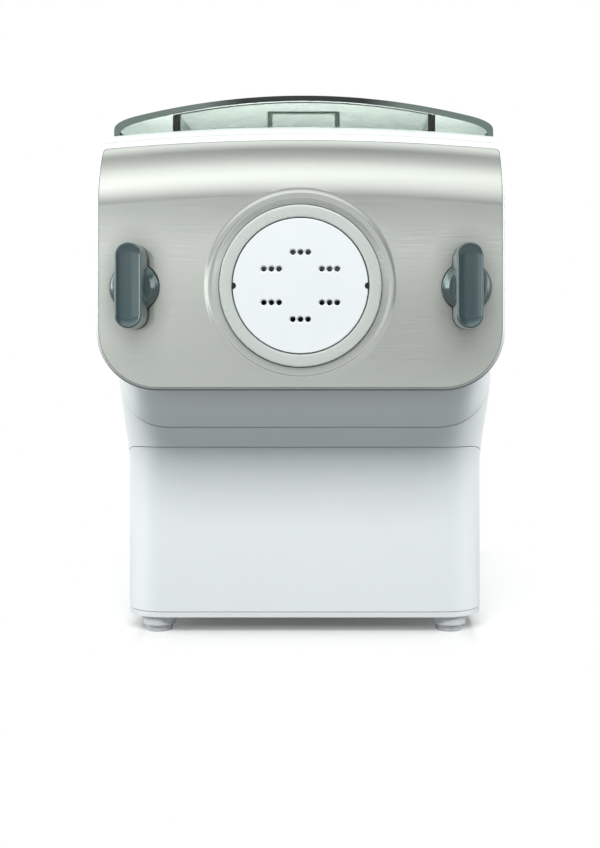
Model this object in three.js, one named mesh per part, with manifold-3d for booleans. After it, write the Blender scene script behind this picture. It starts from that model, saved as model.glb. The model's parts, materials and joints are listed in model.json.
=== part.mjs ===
// An electric pasta maker: a kneading and extruding machine with a removable front panel.
// Units are millimetres, +Z is up and the front panel faces -Y.
// The origin lies on the worktop, at the centre of the machine's outer box.

import * as THREE from 'three';
import { mergeVertices } from 'three/addons/utils/BufferGeometryUtils.js';
import Module from 'manifold-3d';

const wasm = await Module();
wasm.setup();

// Overall sizes
const machineDepth = 343;
const panelWidth = 215;
const knobReach = 20;
const panelOverhang = 46;
const panelThickness = 20;
const inletProud = 1.5;
const baseRearInset = 4;

// Clearances
const seatGap = 0.3;
const runningGap = 0.5;
const slideGap = 0.8;
const swingGap = 1.2;
const overrun = 5;

// Facets of round shapes
const bigRoundSides = 32;
const tubeSides = 24;
const roundSides = 18;
const smallRoundSides = 10;
const tinyRoundSides = 6;
const arcSteps = 5;
const archSteps = 6;
const insideSteps = 3;
const flareSteps = 4;

// Heights above the worktop
const footHeight = 9;
const basePlateThickness = 3;
const drawerTopZ = 104.5;
const housingBottomZ = 116;
const panelBottomZ = 138;
const baseCheekTopZ = 144;
const axisZ = 193;
const deckCrownZ = 283;
const lidCrownZ = 302;

// Arch across the top, and how far each crown falls towards the sides
const deckFall = 4.6;
const lidFall = 14.6;
const lidEndHeight = 4.4;
const topCornerRadius = 7;

// Outlines of the casing
const sideInset = 0.5;
const housingCornerRadius = 31;
const panelCornerRadius = 32;
const planCornerRadius = 22;
const baseSideInset = 6.5;
const baseFlareStartZ = 92;
const baseFlareEndZ = 146;
const basePlateInset = 2.6;
const drawerCornerRadius = 7.5;
const drawerCornerOverhang = 1.5;
const wall = 3;
const cradleRibInset = 15;
const curlRadius = 43;

// Front panel
const skinThickness = 1.2;
const bezelWidth = 1.3;
const bezelSetback = 0.2;
const skinTopCrownZ = 271.4;
const skinTopFall = 3.8;
const skinTopCornerRadius = 3;
const collarInnerRadius = 35.9;
const collarOuterRadius = 42.5;
const collarProud = 4.2;
const collarChamfer = 0.7;
const lipPeakRadius = 48.4;
const lipFootRadius = 52;
const lipHeight = 3.4;
const grooveHeight = 0.9;
const bossWall = 4;

// Locking knobs
const knobSideInset = 20.5;
const knobDropFromAxis = 0.6;
const knobWingLength = 45;
const knobWingWidth = 15.6;
const knobWingEdge = 0.95;
const knobWingRootShare = 0.22;
const knobSkirtRadius = 12.8;
const knobSkirtHeight = 3.6;
const knobConeRadius = 9.6;
const knobConeHeight = 8.4;
const lockShaftRadius = 4;
const lockTongueHalfLength = 8.4;
const lockTongueThickness = 4;
const lockSocketRadius = 9.5;
const lockSocketWall = 1.7;
const lockSocketDepth = 14;
const lockShaftReach = 10;

// Extruder, along the horizontal axis
const discThickness = 6.2;
const discHoleRadius = 1.45;
const discHolePitch = 4;
const discHoleCircleRadius = 17.6;
const discClusters = 6;
const discHolesInRow = 3;
const discNotchRadius = 1.2;
const tubeBoreRadius = 25.2;
const tubeWall = 4;
const tubeFlangeRadius = 34.6;
const tubeFlangeThickness = 4;
const spoutWall = 3.4;
const spoutLength = 8;
const screwRadius = 24.4;
const screwCoreRadius = 11;
const screwPitch = 25;
const screwFlightShare = 0.3;
const screwCrestShare = 0.5;
const screwSteps = 28;
const screwSocketDepth = 14;

// Mixing chamber and paddle
const chamberSetback = 7.5;
const driveBayDepth = 131.5;
const chamberWall = 2.5;
const chamberRadius = 52;
const chamberSideInset = 33.5;
const chamberShoulderZ = 246;
const chamberTopZ = 270;
const paddleReach = 46;
const paddleHubRadius = 11;
const paddleArmWidth = 9;
const paddleArmThickness = 6;
const paddleBarLength = 34;
const paddleArms = 4;
const sealRadius = 12.6;
const sealFlangeRadius = 15;
const sealFlangeThickness = 1.6;

// Gear train: two stages, drive shaft below and compound gear above
const outputPitchRadius = 36;
const compoundPinionPitchRadius = 9;
const compoundPitchRadius = 30;
const motorPinionPitchRadius = 7.5;
const gearTeeth = 32;
const pinionTeeth = 8;
const gearWidth = 10;
const gearSpacing = 4;
const addendumShare = 0.7;
const dedendumShare = 1.3;
const toothWidthShare = 0.36;
const toothTipShare = 0.2;
const wheelPhaseShare = 0;
const pinionPhaseShare = 0.5;
const pressureAngle = (20 * Math.PI) / 180;
const axleRadius = 3;
const driveShaftRadius = 6;
const bearingSeatRadius = 7;
const bearingRadius = 13;
const bulkheadThickness = 4;
const gearboxWall = 3;
const gearboxLowerRadius = 42;
const gearboxUpperRadius = 36;

// Motor
const motorRadius = 34;
const motorWall = 3;
const motorLength = 56;
const motorCapThickness = 4;
const motorShaftRadius = 3;
const rotorRadius = 18;
const statorBoreRadius = 19;
const statorLength = 34;
const rotorLength = 30;
const fanRadius = 30;
const fanHubRadius = 8;
const fanWidth = 8;
const fanBlades = 7;
const fanBladeThickness = 1.6;
const fanPitch = 0.6;
const mountHalfWidth = 30;
const mountFootHeight = 4;
const mountLength = 22;

// Lid and its hinge
const lidWall = 2.2;
const lidSideInset = 1.1;
const lidEndRound = 7;
const lidFrameLap = 0.4;
const lidFrameWall = 3.9;
const lidCatchHalfWidth = 20.4;
const lidCatchTopZ = 292.8;
const lidCatchBar = 1.5;
const lidCatchLeg = 3;
const lidCatchProud = 2.2;
const hingePinRadius = 2;
const hingeBarrelRadius = 5;
const hingeAxisZ = 293;
const hingeAxisSetback = 2;
const lidRearOverlap = 4;
const hingeInnerX = 13;
const hingeBracketLength = 9;
const hingeOuterLength = 16;
const humpSetback = 10;

// Drawer
const drawerFrontDepth = 24;
const drawerTraySideInset = 19;
const drawerTrayTopZ = 82;
const drawerTrayWall = 2.2;
const lasagneSlots = 4;
const tagliatelleSlots = 6;

// Feet and screws
const footSideInset = 18.4;
const footFrontSetback = 12;
const footRearInset = 28;
const footUpperRadius = 9.5;
const footLowerRadius = 7.5;
const footStepZ = 3.6;
const screwPostSideInset = 13;
const screwPostFrontSetback = 36;
const screwPostRearInset = 18;
const screwPostRadius = 5;
const screwShankRadius = 1.7;
const screwHeadRadius = 3.6;
const screwHeadHeight = 1.6;
const screwBite = 12;

// Control panel on the right-hand side
const controlRearInset = 73.5;
const controlZ = 213;
const controlHalfLength = 46;
const controlHalfHeight = 27;
const controlThickness = 2.8;
const controlCornerRadius = 6;
const controlFlangeWidth = 3;
const controlFlangeThickness = 2;
const windowHalfLength = 24;
const windowHalfHeight = 8;
const windowRise = 11;
const windowThickness = 1.2;
const buttonRadius = 5.4;
const buttonFlangeRadius = 6.6;
const buttonFlangeThickness = 1.4;
const buttonSpacing = 19;
const buttonDrop = 12;
const buttonCount = 4;
const buttonProud = 0.5;
const boardThickness = 1.6;
const boardHalfLength = 40;
const boardHalfHeight = 38;
const boardInset = 17;
const boardPostRadius = 3;
const boardPostInset = 5;

// Rear cover, inlet and power switch
const rearCoverThickness = 4;
const ventSlotHalfLength = 32;
const ventSlotHeight = 3;
const ventSlotPitch = 8;
const ventSlotCount = 9;
const inletSideInset = 45.5;
const inletZ = 150;
const inletHalfWidth = 14;
const inletHalfHeight = 10;
const inletDepth = 18;
const inletRim = 2.5;
const inletSocketDepth = 13;
const inletPinRadius = 1.2;
const inletPinSetback = 4.5;
const switchZ = 188;
const switchHalfWidth = 6.5;
const switchHalfHeight = 10;
const switchDepth = 9;
const switchTilt = (8 * Math.PI) / 180;

// Places worked out from the sizes above
const frontY = -machineDepth / 2;
const rearY = machineDepth / 2;
const panelFaceY = frontY + knobReach;
const noseFrontY = panelFaceY + panelThickness;
const bodyFrontY = panelFaceY + panelOverhang;
const rearFaceY = rearY - inletProud;
const rearSeamY = rearFaceY - rearCoverThickness;
const baseRearY = rearY - baseRearInset;
const panelHalfWidth = panelWidth / 2;
const housingHalfWidth = panelHalfWidth - sideInset;
const baseHalfWidth = panelHalfWidth - baseSideInset;
const lidHalfWidth = panelHalfWidth - lidSideInset;
const knobX = panelHalfWidth - knobSideInset;
const footX = baseHalfWidth - footSideInset;
const screwPostX = baseHalfWidth - screwPostSideInset;
const inletX = inletSideInset - panelHalfWidth;
const chamberHalfWidth = panelHalfWidth - chamberSideInset;
const chamberFrontY = bodyFrontY + chamberSetback;
const chamberRearY = rearY - driveBayDepth;
const lidFrameHalfWidth = chamberHalfWidth + lidFrameLap;
const controlY = rearY - controlRearInset;
const drawerTrayHalfWidth = baseHalfWidth - drawerTraySideInset;
const curlCentreZ = deckCrownZ - curlRadius;
const knobZ = axisZ - knobDropFromAxis;
const basePlateTopZ = footHeight + basePlateThickness;
const panelShellFaceY = panelFaceY + skinThickness + seatGap;
const tubeOuterRadius = tubeBoreRadius + tubeWall;
const spoutBoreRadius = tubeOuterRadius + seatGap;
const discRearY = panelFaceY + discThickness;
const discRadius = collarInnerRadius - runningGap;
const tubeFrontY = discRearY + seatGap;
const bulkheadY = chamberRearY + swingGap + sealFlangeThickness + runningGap;
const gearboxFrontY = bulkheadY + bulkheadThickness + seatGap;
const outputGearY = gearboxFrontY + gearSpacing + gearWidth / 2;
const motorGearY = outputGearY + gearWidth + gearSpacing;
const gearboxRearY = motorGearY + gearWidth / 2 + gearSpacing + gearboxWall;
const compoundZ = axisZ + outputPitchRadius + compoundPinionPitchRadius;
const motorZ = compoundZ - compoundPitchRadius - motorPinionPitchRadius;
const motorFrontY = gearboxRearY + seatGap;
const motorRearY = motorFrontY + motorLength;
const lidFrontY = bodyFrontY + seatGap;
const lidRearY = chamberRearY + lidRearOverlap;
const hingeAxisY = lidRearY + hingeAxisSetback;
const humpFrontY = hingeAxisY + humpSetback;
const deckOpeningFrontY = chamberFrontY - wall - seatGap;
const deckOpeningRearY = chamberRearY + swingGap + seatGap;
const drawerRearOfFrontY = bodyFrontY + drawerFrontDepth;
const drawerTrayLength = drawerTrayWall * 2 + discRadius * 4 + slideGap * 2;
const drawerTrayRearY = drawerRearOfFrontY + drawerTrayLength;
const switchFace = switchDepth / 2 - inletProud;
const switchReach = switchFace * Math.cos(switchTilt) + switchHalfHeight * Math.sin(switchTilt);
const switchPivotY = rearY - seatGap - switchReach;

// Orientation of shapes drawn flat: the drawing's own axes, then the direction of its depth
const facingFront = new THREE.Matrix4().makeBasis(
  new THREE.Vector3(1, 0, 0),
  new THREE.Vector3(0, 0, 1),
  new THREE.Vector3(0, -1, 0),
);
const facingSide = new THREE.Matrix4().makeBasis(
  new THREE.Vector3(0, 1, 0),
  new THREE.Vector3(0, 0, 1),
  new THREE.Vector3(1, 0, 0),
);
const quarterTurn = Math.PI / 2;
const fullTurn = Math.PI * 2;

// A closed geometry as a manifold solid, turned the right way out
function solid(geometry) {
  const bare = geometry.index ? geometry.toNonIndexed() : geometry.clone();
  bare.deleteAttribute('normal');
  bare.deleteAttribute('uv');
  const merged = mergeVertices(bare);
  const places = merged.attributes.position.array;
  const corners = [];
  for (let first = 0; first < merged.index.count; first += 3) {
    const [a, b, c] = merged.index.array.slice(first, first + 3);
    if (a !== b && b !== c && c !== a) corners.push(a, b, c);
  }
  const outward = signedVolume(places, corners) > 0;
  const triVerts = new Uint32Array(outward ? corners : corners.reverse());
  return new wasm.Manifold(new wasm.Mesh({ numProp: 3, vertProperties: new Float32Array(places), triVerts }));
}

function signedVolume(places, corners) {
  const point = (index) => new THREE.Vector3().fromArray(places, index * 3);
  let sum = 0;
  for (let first = 0; first < corners.length; first += 3) {
    const [a, b, c] = corners.slice(first, first + 3).map(point);
    sum += a.dot(b.cross(c));
  }
  return sum;
}

// A shape drawn in X and Z, with its depth from one Y to another
function alongY(shape, startY, endY, steps = arcSteps) {
  const geometry = new THREE.ExtrudeGeometry(shape, {
    depth: endY - startY,
    bevelEnabled: false,
    curveSegments: steps,
  });
  return solid(geometry.applyMatrix4(facingFront).translate(0, endY, 0));
}

// A shape drawn in Y and Z, with its depth from one X to another
function alongX(shape, startX, endX, steps = arcSteps) {
  const geometry = new THREE.ExtrudeGeometry(shape, {
    depth: endX - startX,
    bevelEnabled: false,
    curveSegments: steps,
  });
  return solid(geometry.applyMatrix4(facingSide).translate(startX, 0, 0));
}

// A shape drawn in X and Y, with its depth from one Z to another
function alongZ(shape, startZ, endZ, steps = arcSteps) {
  const geometry = new THREE.ExtrudeGeometry(shape, {
    depth: endZ - startZ,
    bevelEnabled: false,
    curveSegments: steps,
  });
  return solid(geometry.translate(0, 0, startZ));
}

// A profile of radius and height, turned about the Y axis
function turnedAboutY(profile, sides = roundSides) {
  const points = profile.map(([radius, y]) => new THREE.Vector2(radius, y));
  return solid(new THREE.LatheGeometry(points, sides));
}

// The same turned piece standing along Z, or lying along X
function turnedAboutZ(profile, sides = roundSides) {
  const points = profile.map(([radius, z]) => new THREE.Vector2(radius, z));
  return solid(new THREE.LatheGeometry(points, sides).rotateX(quarterTurn));
}

function turnedAboutX(profile, sides = roundSides) {
  const points = profile.map(([radius, x]) => new THREE.Vector2(radius, x));
  return solid(new THREE.LatheGeometry(points, sides).rotateZ(-quarterTurn));
}

function rodProfile(radius, start, end) {
  return [[0, start], [radius, start], [radius, end], [0, end]];
}

function ringProfile(inner, outer, start, end) {
  return [[inner, start], [outer, start], [outer, end], [inner, end], [inner, start]];
}

// A block between two corners
function block(startX, endX, startY, endY, startZ, endZ) {
  const geometry = new THREE.BoxGeometry(endX - startX, endY - startY, endZ - startZ);
  geometry.translate((startX + endX) / 2, (startY + endY) / 2, (startZ + endZ) / 2);
  return solid(geometry);
}

function joined(first, ...others) {
  return others.reduce((whole, other) => whole.add(other), first);
}

function cut(whole, ...tools) {
  return tools.reduce((rest, tool) => rest.subtract(tool), whole);
}

function mirroredX(piece) {
  return piece.mirror([1, 0, 0]);
}

// A named mesh from a manifold solid, with its own material
function namedMesh(name, piece, color, roughness, metalness = 0, opacity = 1) {
  const { vertProperties, triVerts } = piece.getMesh();
  const geometry = new THREE.BufferGeometry();
  geometry.setAttribute('position', new THREE.BufferAttribute(new Float32Array(vertProperties), 3));
  geometry.setIndex(new THREE.BufferAttribute(new Uint32Array(triVerts), 1));
  geometry.computeVertexNormals();
  const material = new THREE.MeshStandardMaterial({ color, roughness, metalness });
  material.transparent = opacity < 1;
  material.opacity = opacity;
  const mesh = new THREE.Mesh(geometry, material);
  mesh.name = name;
  return mesh;
}

function gathered(place, ...members) {
  const group = new THREE.Group();
  group.position.copy(place);
  group.add(...members);
  return group;
}

// The casing's front view: round lower corners, and a top that arches up to a crown
function casingOutline(halfWidth, bottomZ, cornerRadius, inset = 0) {
  const side = halfWidth - inset;
  const bottom = bottomZ + inset;
  const corner = cornerRadius - inset;
  return archedOutline(side, bottom, corner, deckCrownZ - inset, deckFall, topCornerRadius - inset);
}

function archedOutline(side, bottom, corner, crown, fall, topCorner) {
  const shape = new THREE.Shape();
  const shoulder = crown - fall;
  const archEnd = side - topCorner;
  shape.moveTo(-side + corner, bottom);
  shape.lineTo(side - corner, bottom);
  shape.absarc(side - corner, bottom + corner, corner, -quarterTurn, 0, false);
  shape.lineTo(side, shoulder - topCorner);
  shape.quadraticCurveTo(side, shoulder, archEnd, shoulder);
  shape.quadraticCurveTo(0, 2 * crown - shoulder, -archEnd, shoulder);
  shape.quadraticCurveTo(-side, shoulder, -side, shoulder - topCorner);
  shape.lineTo(-side, bottom + corner);
  shape.absarc(-side + corner, bottom + corner, corner, -Math.PI, -quarterTurn, false);
  return shape;
}

const housingOutline = (inset = 0) => casingOutline(
  housingHalfWidth, housingBottomZ, housingCornerRadius, inset,
);
const noseOutline = (inset = 0) => casingOutline(housingHalfWidth, panelBottomZ, panelCornerRadius, inset);
const panelOutline = (inset = 0) => casingOutline(panelHalfWidth, panelBottomZ, panelCornerRadius, inset);

// The silver skin's front view, inside the bezel and ending below the arch
function skinOutline(inset = 0) {
  const side = panelHalfWidth - bezelWidth - inset;
  const bottom = panelBottomZ + bezelWidth + inset;
  const corner = panelCornerRadius - bezelWidth - inset;
  return archedOutline(side, bottom, corner, skinTopCrownZ - inset, skinTopFall, skinTopCornerRadius);
}

// The side view of everything in front: a flat face that curls back into the deck
function noseProfile(inset = 0) {
  const face = panelFaceY + inset;
  const radius = curlRadius - inset;
  const centreY = panelFaceY + curlRadius;
  const shape = new THREE.Shape();
  shape.moveTo(rearY, -overrun);
  shape.lineTo(rearY, curlCentreZ + radius);
  shape.lineTo(centreY, curlCentreZ + radius);
  shape.absarc(centreY, curlCentreZ, radius, quarterTurn, Math.PI, false);
  shape.lineTo(face, -overrun);
  shape.closePath();
  return shape;
}

// The plan view of the body, with its round upright corners
function planOutline(halfWidth, startY, endY, cornerRadius) {
  const shape = new THREE.Shape();
  shape.moveTo(-halfWidth + cornerRadius, startY);
  shape.lineTo(halfWidth - cornerRadius, startY);
  shape.absarc(halfWidth - cornerRadius, startY + cornerRadius, cornerRadius, -quarterTurn, 0, false);
  shape.lineTo(halfWidth, endY - cornerRadius);
  shape.absarc(halfWidth - cornerRadius, endY - cornerRadius, cornerRadius, 0, quarterTurn, false);
  shape.lineTo(-halfWidth + cornerRadius, endY);
  shape.absarc(-halfWidth + cornerRadius, endY - cornerRadius, cornerRadius, quarterTurn, Math.PI, false);
  shape.lineTo(-halfWidth, startY + cornerRadius);
  const corner = -halfWidth + cornerRadius;
  shape.absarc(corner, startY + cornerRadius, cornerRadius, Math.PI, 3 * quarterTurn, false);
  return shape;
}

// A solid with the plan view of the body, as tall as the machine
function planSolid(halfWidth, startY, endY, inset = 0, steps = arcSteps) {
  const shape = planOutline(halfWidth - inset, startY + inset, endY - inset, planCornerRadius - inset);
  return alongZ(shape, -overrun, lidCrownZ + overrun, steps);
}

// The lid's front view: flat under the deck line, upright ends and a high arch
function lidOutline(inset = 0, bottomZ = null) {
  const side = lidHalfWidth - inset;
  const crown = lidCrownZ - inset;
  const shoulder = crown - lidFall;
  const end = deckCrownZ - deckFall + lidEndHeight - inset;
  const archEnd = side - lidEndRound;
  const under = deckCrownZ + seatGap + inset;
  const edge = under - deckFall;
  const shape = new THREE.Shape();
  if (bottomZ === null) {
    shape.moveTo(-side, edge - seatGap);
    shape.quadraticCurveTo(0, 2 * under - edge + seatGap, side, edge - seatGap);
  } else {
    shape.moveTo(-side, bottomZ);
    shape.lineTo(side, bottomZ);
  }
  shape.lineTo(side, end);
  shape.quadraticCurveTo(side, shoulder - inset / 2, archEnd, shoulder);
  shape.quadraticCurveTo(0, 2 * crown - shoulder, -archEnd, shoulder);
  shape.quadraticCurveTo(-side, shoulder - inset / 2, -side, end);
  shape.closePath();
  return shape;
}

// Front panel: a white shell, the silver skin let into its face, and the collar round the disc
function panelSkinSolid() {
  const skin = alongY(skinOutline(), panelFaceY - overrun, noseFrontY)
    .intersect(alongX(noseProfile(), -panelWidth, panelWidth))
    .subtract(alongX(noseProfile(skinThickness), -panelWidth, panelWidth));
  const backY = panelFaceY + skinThickness / 2;
  const bore = collarOuterRadius + runningGap;
  const lip = turnedAboutY([
    [bore, backY],
    [bore, panelFaceY - grooveHeight],
    [(bore + lipPeakRadius) / 2, panelFaceY - lipHeight / 2],
    [lipPeakRadius - grooveHeight, panelFaceY - lipHeight + skinThickness / 4],
    [lipPeakRadius, panelFaceY - lipHeight],
    [lipPeakRadius + skinThickness, panelFaceY - lipHeight + skinThickness / 4],
    [(lipPeakRadius + lipFootRadius) / 2, panelFaceY - skinThickness],
    [lipFootRadius, panelFaceY],
    [lipFootRadius, backY],
    [bore, backY],
  ], bigRoundSides).translate([0, 0, axisZ]);
  const hole = turnedAboutY(rodProfile(bore, panelFaceY - overrun, noseFrontY), bigRoundSides);
  const knobHole = turnedAboutY(rodProfile(knobSkirtRadius + runningGap, panelFaceY - overrun, noseFrontY));
  return cut(
    joined(skin, lip),
    hole.translate([0, 0, axisZ]),
    knobHole.translate([knobX, 0, knobZ]),
    knobHole.translate([-knobX, 0, knobZ]),
  );
}

function panelShellSolid() {
  const full = alongY(panelOutline(), panelFaceY - overrun, noseFrontY - seatGap)
    .intersect(alongX(noseProfile(bezelSetback), -panelWidth, panelWidth));
  const pocket = alongY(skinOutline(-seatGap), panelFaceY - overrun, noseFrontY)
    .subtract(alongX(noseProfile(skinThickness + seatGap), -panelWidth, panelWidth));
  const cavity = alongY(panelOutline(wall), panelFaceY, noseFrontY)
    .intersect(alongX(noseProfile(skinThickness + seatGap + wall), -panelWidth, panelWidth));
  const backY = noseFrontY - seatGap;
  const discHole = discRadius + runningGap;
  const boss = ringProfile(discHole, discHole + bossWall, panelShellFaceY + seatGap, backY);
  const shaftHole = lockShaftRadius + runningGap;
  const post = ringProfile(shaftHole, shaftHole + bossWall, panelShellFaceY + seatGap, backY);
  const centre = [0, 0, axisZ];
  const places = [[knobX, 0, knobZ], [-knobX, 0, knobZ]];
  const shell = joined(
    cut(full, pocket, cavity),
    turnedAboutY(boss, bigRoundSides).translate(centre),
    ...places.map((place) => turnedAboutY(post, smallRoundSides).translate(place)),
  );
  const discTool = turnedAboutY(rodProfile(discHole, panelFaceY - overrun, noseFrontY), bigRoundSides);
  const shaftTool = turnedAboutY(rodProfile(shaftHole, panelFaceY - overrun, noseFrontY), smallRoundSides);
  return cut(shell, discTool.translate(centre), ...places.map((place) => shaftTool.translate(place)));
}

// The collar stands proud of the panel face, with chamfered rims
function discCollarSolid() {
  const frontFace = -collarProud;
  const back = skinThickness;
  return turnedAboutY([
    [collarInnerRadius, back],
    [collarOuterRadius, back],
    [collarOuterRadius, frontFace + collarChamfer],
    [collarOuterRadius - collarChamfer, frontFace],
    [collarInnerRadius + collarChamfer, frontFace],
    [collarInnerRadius, frontFace + collarChamfer],
    [collarInnerRadius, back],
  ], bigRoundSides);
}

// A stadium shape, upright, for the knob's wing
function uprightStadium(width, length) {
  const radius = width / 2;
  const reach = length / 2 - radius;
  const shape = new THREE.Shape();
  shape.absarc(0, reach, radius, 0, Math.PI, false);
  shape.absarc(0, -reach, radius, Math.PI, fullTurn, false);
  shape.closePath();
  return shape;
}

// A locking knob: a bevelled wing on a stepped round skirt; y = 0 is its seat on the panel shell
function knobSolid() {
  const height = panelShellFaceY - seatGap - frontY;
  const wingRootY = -height * knobWingRootShare;
  const wingDepth = height + wingRootY - 2 * knobWingEdge;
  const inner = uprightStadium(knobWingWidth - 2 * knobWingEdge, knobWingLength - 2 * knobWingEdge);
  const wing = new THREE.ExtrudeGeometry(inner, {
    depth: wingDepth,
    curveSegments: arcSteps,
    bevelThickness: knobWingEdge,
    bevelSize: knobWingEdge,
    bevelSegments: 2,
  });
  wing.applyMatrix4(facingFront).translate(0, wingRootY - knobWingEdge, 0);
  const skirt = turnedAboutY([
    [0, 0],
    [knobSkirtRadius, 0],
    [knobSkirtRadius, -knobSkirtHeight],
    [knobSkirtRadius - knobWingEdge, -knobSkirtHeight - knobWingEdge],
    [knobConeRadius, -knobConeHeight],
    [0, -knobConeHeight],
  ]);
  const socketDepth = -knobConeHeight + wall;
  const socket = turnedAboutY(rodProfile(lockShaftRadius + seatGap, socketDepth, overrun), smallRoundSides);
  return cut(joined(skirt, solid(wing)), socket);
}

// The shaft behind a knob, ending in a cross bar that turns in the housing's lock socket
function lockShaftSolid() {
  const startY = panelShellFaceY - seatGap - knobConeHeight + wall + seatGap;
  const endY = noseFrontY + lockShaftReach;
  const shaft = turnedAboutY(rodProfile(lockShaftRadius, startY, endY), smallRoundSides);
  const bar = block(
    -lockTongueThickness / 2, lockTongueThickness / 2,
    endY - lockTongueThickness, endY,
    -lockTongueHalfLength, lockTongueHalfLength,
  );
  return joined(shaft, bar);
}

// The shaping disc: rows of round holes in a circle of clusters, and a notch at each side
function discHolePlaces() {
  const places = [];
  for (let cluster = 0; cluster < discClusters; cluster += 1) {
    const angle = quarterTurn + (cluster * fullTurn) / discClusters;
    for (let hole = 0; hole < discHolesInRow; hole += 1) {
      const aside = (hole - (discHolesInRow - 1) / 2) * discHolePitch;
      const x = discHoleCircleRadius * Math.cos(angle) + aside;
      places.push([x, discHoleCircleRadius * Math.sin(angle)]);
    }
  }
  return places;
}

function shapingDiscSolid() {
  const disc = turnedAboutY([
    [0, 0],
    [discRadius, 0],
    [discRadius, -discThickness + seatGap],
    [discRadius - seatGap, -discThickness],
    [0, -discThickness],
  ], bigRoundSides);
  const hole = turnedAboutY(rodProfile(discHoleRadius, -discThickness - overrun, overrun), tinyRoundSides);
  const notch = turnedAboutY(
    rodProfile(discNotchRadius, -discThickness - overrun, -discThickness / 2), tinyRoundSides,
  );
  return cut(
    disc,
    ...discHolePlaces().map(([x, z]) => hole.translate([x, 0, z])),
    notch.translate([discRadius, 0, 0]),
    notch.translate([-discRadius, 0, 0]),
  );
}

// A spare disc for flat pasta: the same blank with rows of slots
function spareDiscSolid(slotCount) {
  const blank = turnedAboutZ(rodProfile(discRadius, 0, discThickness), roundSides);
  const slotPitch = discHoleCircleRadius * 2 / slotCount;
  const slots = [];
  for (let slot = 0; slot < slotCount; slot += 1) {
    const y = (slot - (slotCount - 1) / 2) * slotPitch;
    slots.push(block(
      -discHoleCircleRadius, discHoleCircleRadius,
      y - discHoleRadius, y + discHoleRadius,
      -overrun, discThickness + overrun,
    ));
  }
  return cut(blank, ...slots);
}

// The extrusion tube plugs into the chamber's spout and carries the disc on its flange
function extrusionTubeSolid() {
  const flangeY = tubeFrontY + tubeFlangeThickness;
  const rear = chamberFrontY + chamberWall - seatGap;
  return turnedAboutY([
    [tubeBoreRadius, tubeFrontY],
    [tubeFlangeRadius, tubeFrontY],
    [tubeFlangeRadius, flangeY],
    [tubeOuterRadius, flangeY],
    [tubeOuterRadius, rear],
    [tubeBoreRadius, rear],
    [tubeBoreRadius, tubeFrontY],
  ], tubeSides);
}

// The extrusion screw: a core with one helical flight, as rings of points that follow the helix
function extrusionScrewSolid() {
  const startY = tubeFrontY + runningGap * 2;
  const endY = chamberFrontY + chamberWall * 2;
  const points = [];
  const corners = [];
  for (let step = 0; step <= screwSteps; step += 1) {
    const y = startY + ((endY - startY) * step) / screwSteps;
    for (let side = 0; side < roundSides; side += 1) {
      const turn = side / roundSides;
      const rise = flightHeightShare(turn + y / screwPitch);
      const radius = THREE.MathUtils.lerp(screwCoreRadius, screwRadius, rise);
      points.push(radius * Math.cos(turn * fullTurn), y, radius * Math.sin(turn * fullTurn));
    }
  }
  for (let step = 0; step < screwSteps; step += 1) {
    for (let side = 0; side < roundSides; side += 1) {
      const here = step * roundSides + side;
      const beside = step * roundSides + ((side + 1) % roundSides);
      corners.push(here, here + roundSides, beside, beside, here + roundSides, beside + roundSides);
    }
  }
  const frontHub = points.length / 3;
  points.push(0, startY, 0, 0, endY, 0);
  const lastRing = screwSteps * roundSides;
  for (let side = 0; side < roundSides; side += 1) {
    const next = (side + 1) % roundSides;
    corners.push(frontHub, side, next);
    corners.push(frontHub + 1, lastRing + next, lastRing + side);
  }
  const geometry = new THREE.BufferGeometry();
  geometry.setAttribute('position', new THREE.BufferAttribute(new Float32Array(points), 3));
  geometry.setIndex(corners);
  const socketRadius = driveShaftRadius + seatGap;
  const socket = turnedAboutY(
    rodProfile(socketRadius, endY - screwSocketDepth, endY + overrun), smallRoundSides,
  );
  return cut(solid(geometry), socket);
}

// How far the flight stands out at a phase along the helix, from 0 at the core to 1 at its crest
function flightHeightShare(phase) {
  const within = phase - Math.floor(phase);
  const fromCrest = Math.abs(within - screwCrestShare) / screwFlightShare;
  return fromCrest < 1 ? Math.min(1, 2 * (1 - fromCrest)) : 0;
}

// The mixing chamber: a trough with a half-round bottom and flaring sides, drawn in X and Z
function chamberOutline(inset, topZ) {
  const radius = chamberRadius - inset;
  const half = chamberHalfWidth - inset;
  const shape = new THREE.Shape();
  shape.absarc(0, axisZ, radius, -Math.PI, 0, false);
  shape.lineTo(half, chamberShoulderZ);
  shape.lineTo(half, topZ);
  shape.lineTo(-half, topZ);
  shape.lineTo(-half, chamberShoulderZ);
  shape.closePath();
  return shape;
}

function mixingChamberSolid() {
  const steps = archSteps;
  const outside = alongY(chamberOutline(0, chamberTopZ), chamberFrontY, chamberRearY, steps);
  const inside = alongY(
    chamberOutline(chamberWall, chamberTopZ + overrun),
    chamberFrontY + chamberWall,
    chamberRearY - chamberWall,
    steps,
  );
  const spout = turnedAboutY(
    rodProfile(spoutBoreRadius + spoutWall, chamberFrontY - spoutLength, chamberFrontY + chamberWall / 2),
    tubeSides,
  ).translate([0, 0, axisZ]);
  const bore = turnedAboutY(
    rodProfile(spoutBoreRadius, chamberFrontY - spoutLength - overrun, chamberFrontY + chamberWall + seatGap),
    tubeSides,
  ).translate([0, 0, axisZ]);
  const sealHole = turnedAboutY(
    rodProfile(sealRadius + seatGap, chamberRearY - chamberWall - seatGap, chamberRearY + overrun),
  ).translate([0, 0, axisZ]);
  return cut(joined(cut(outside, inside), spout), bore, sealHole);
}

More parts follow.
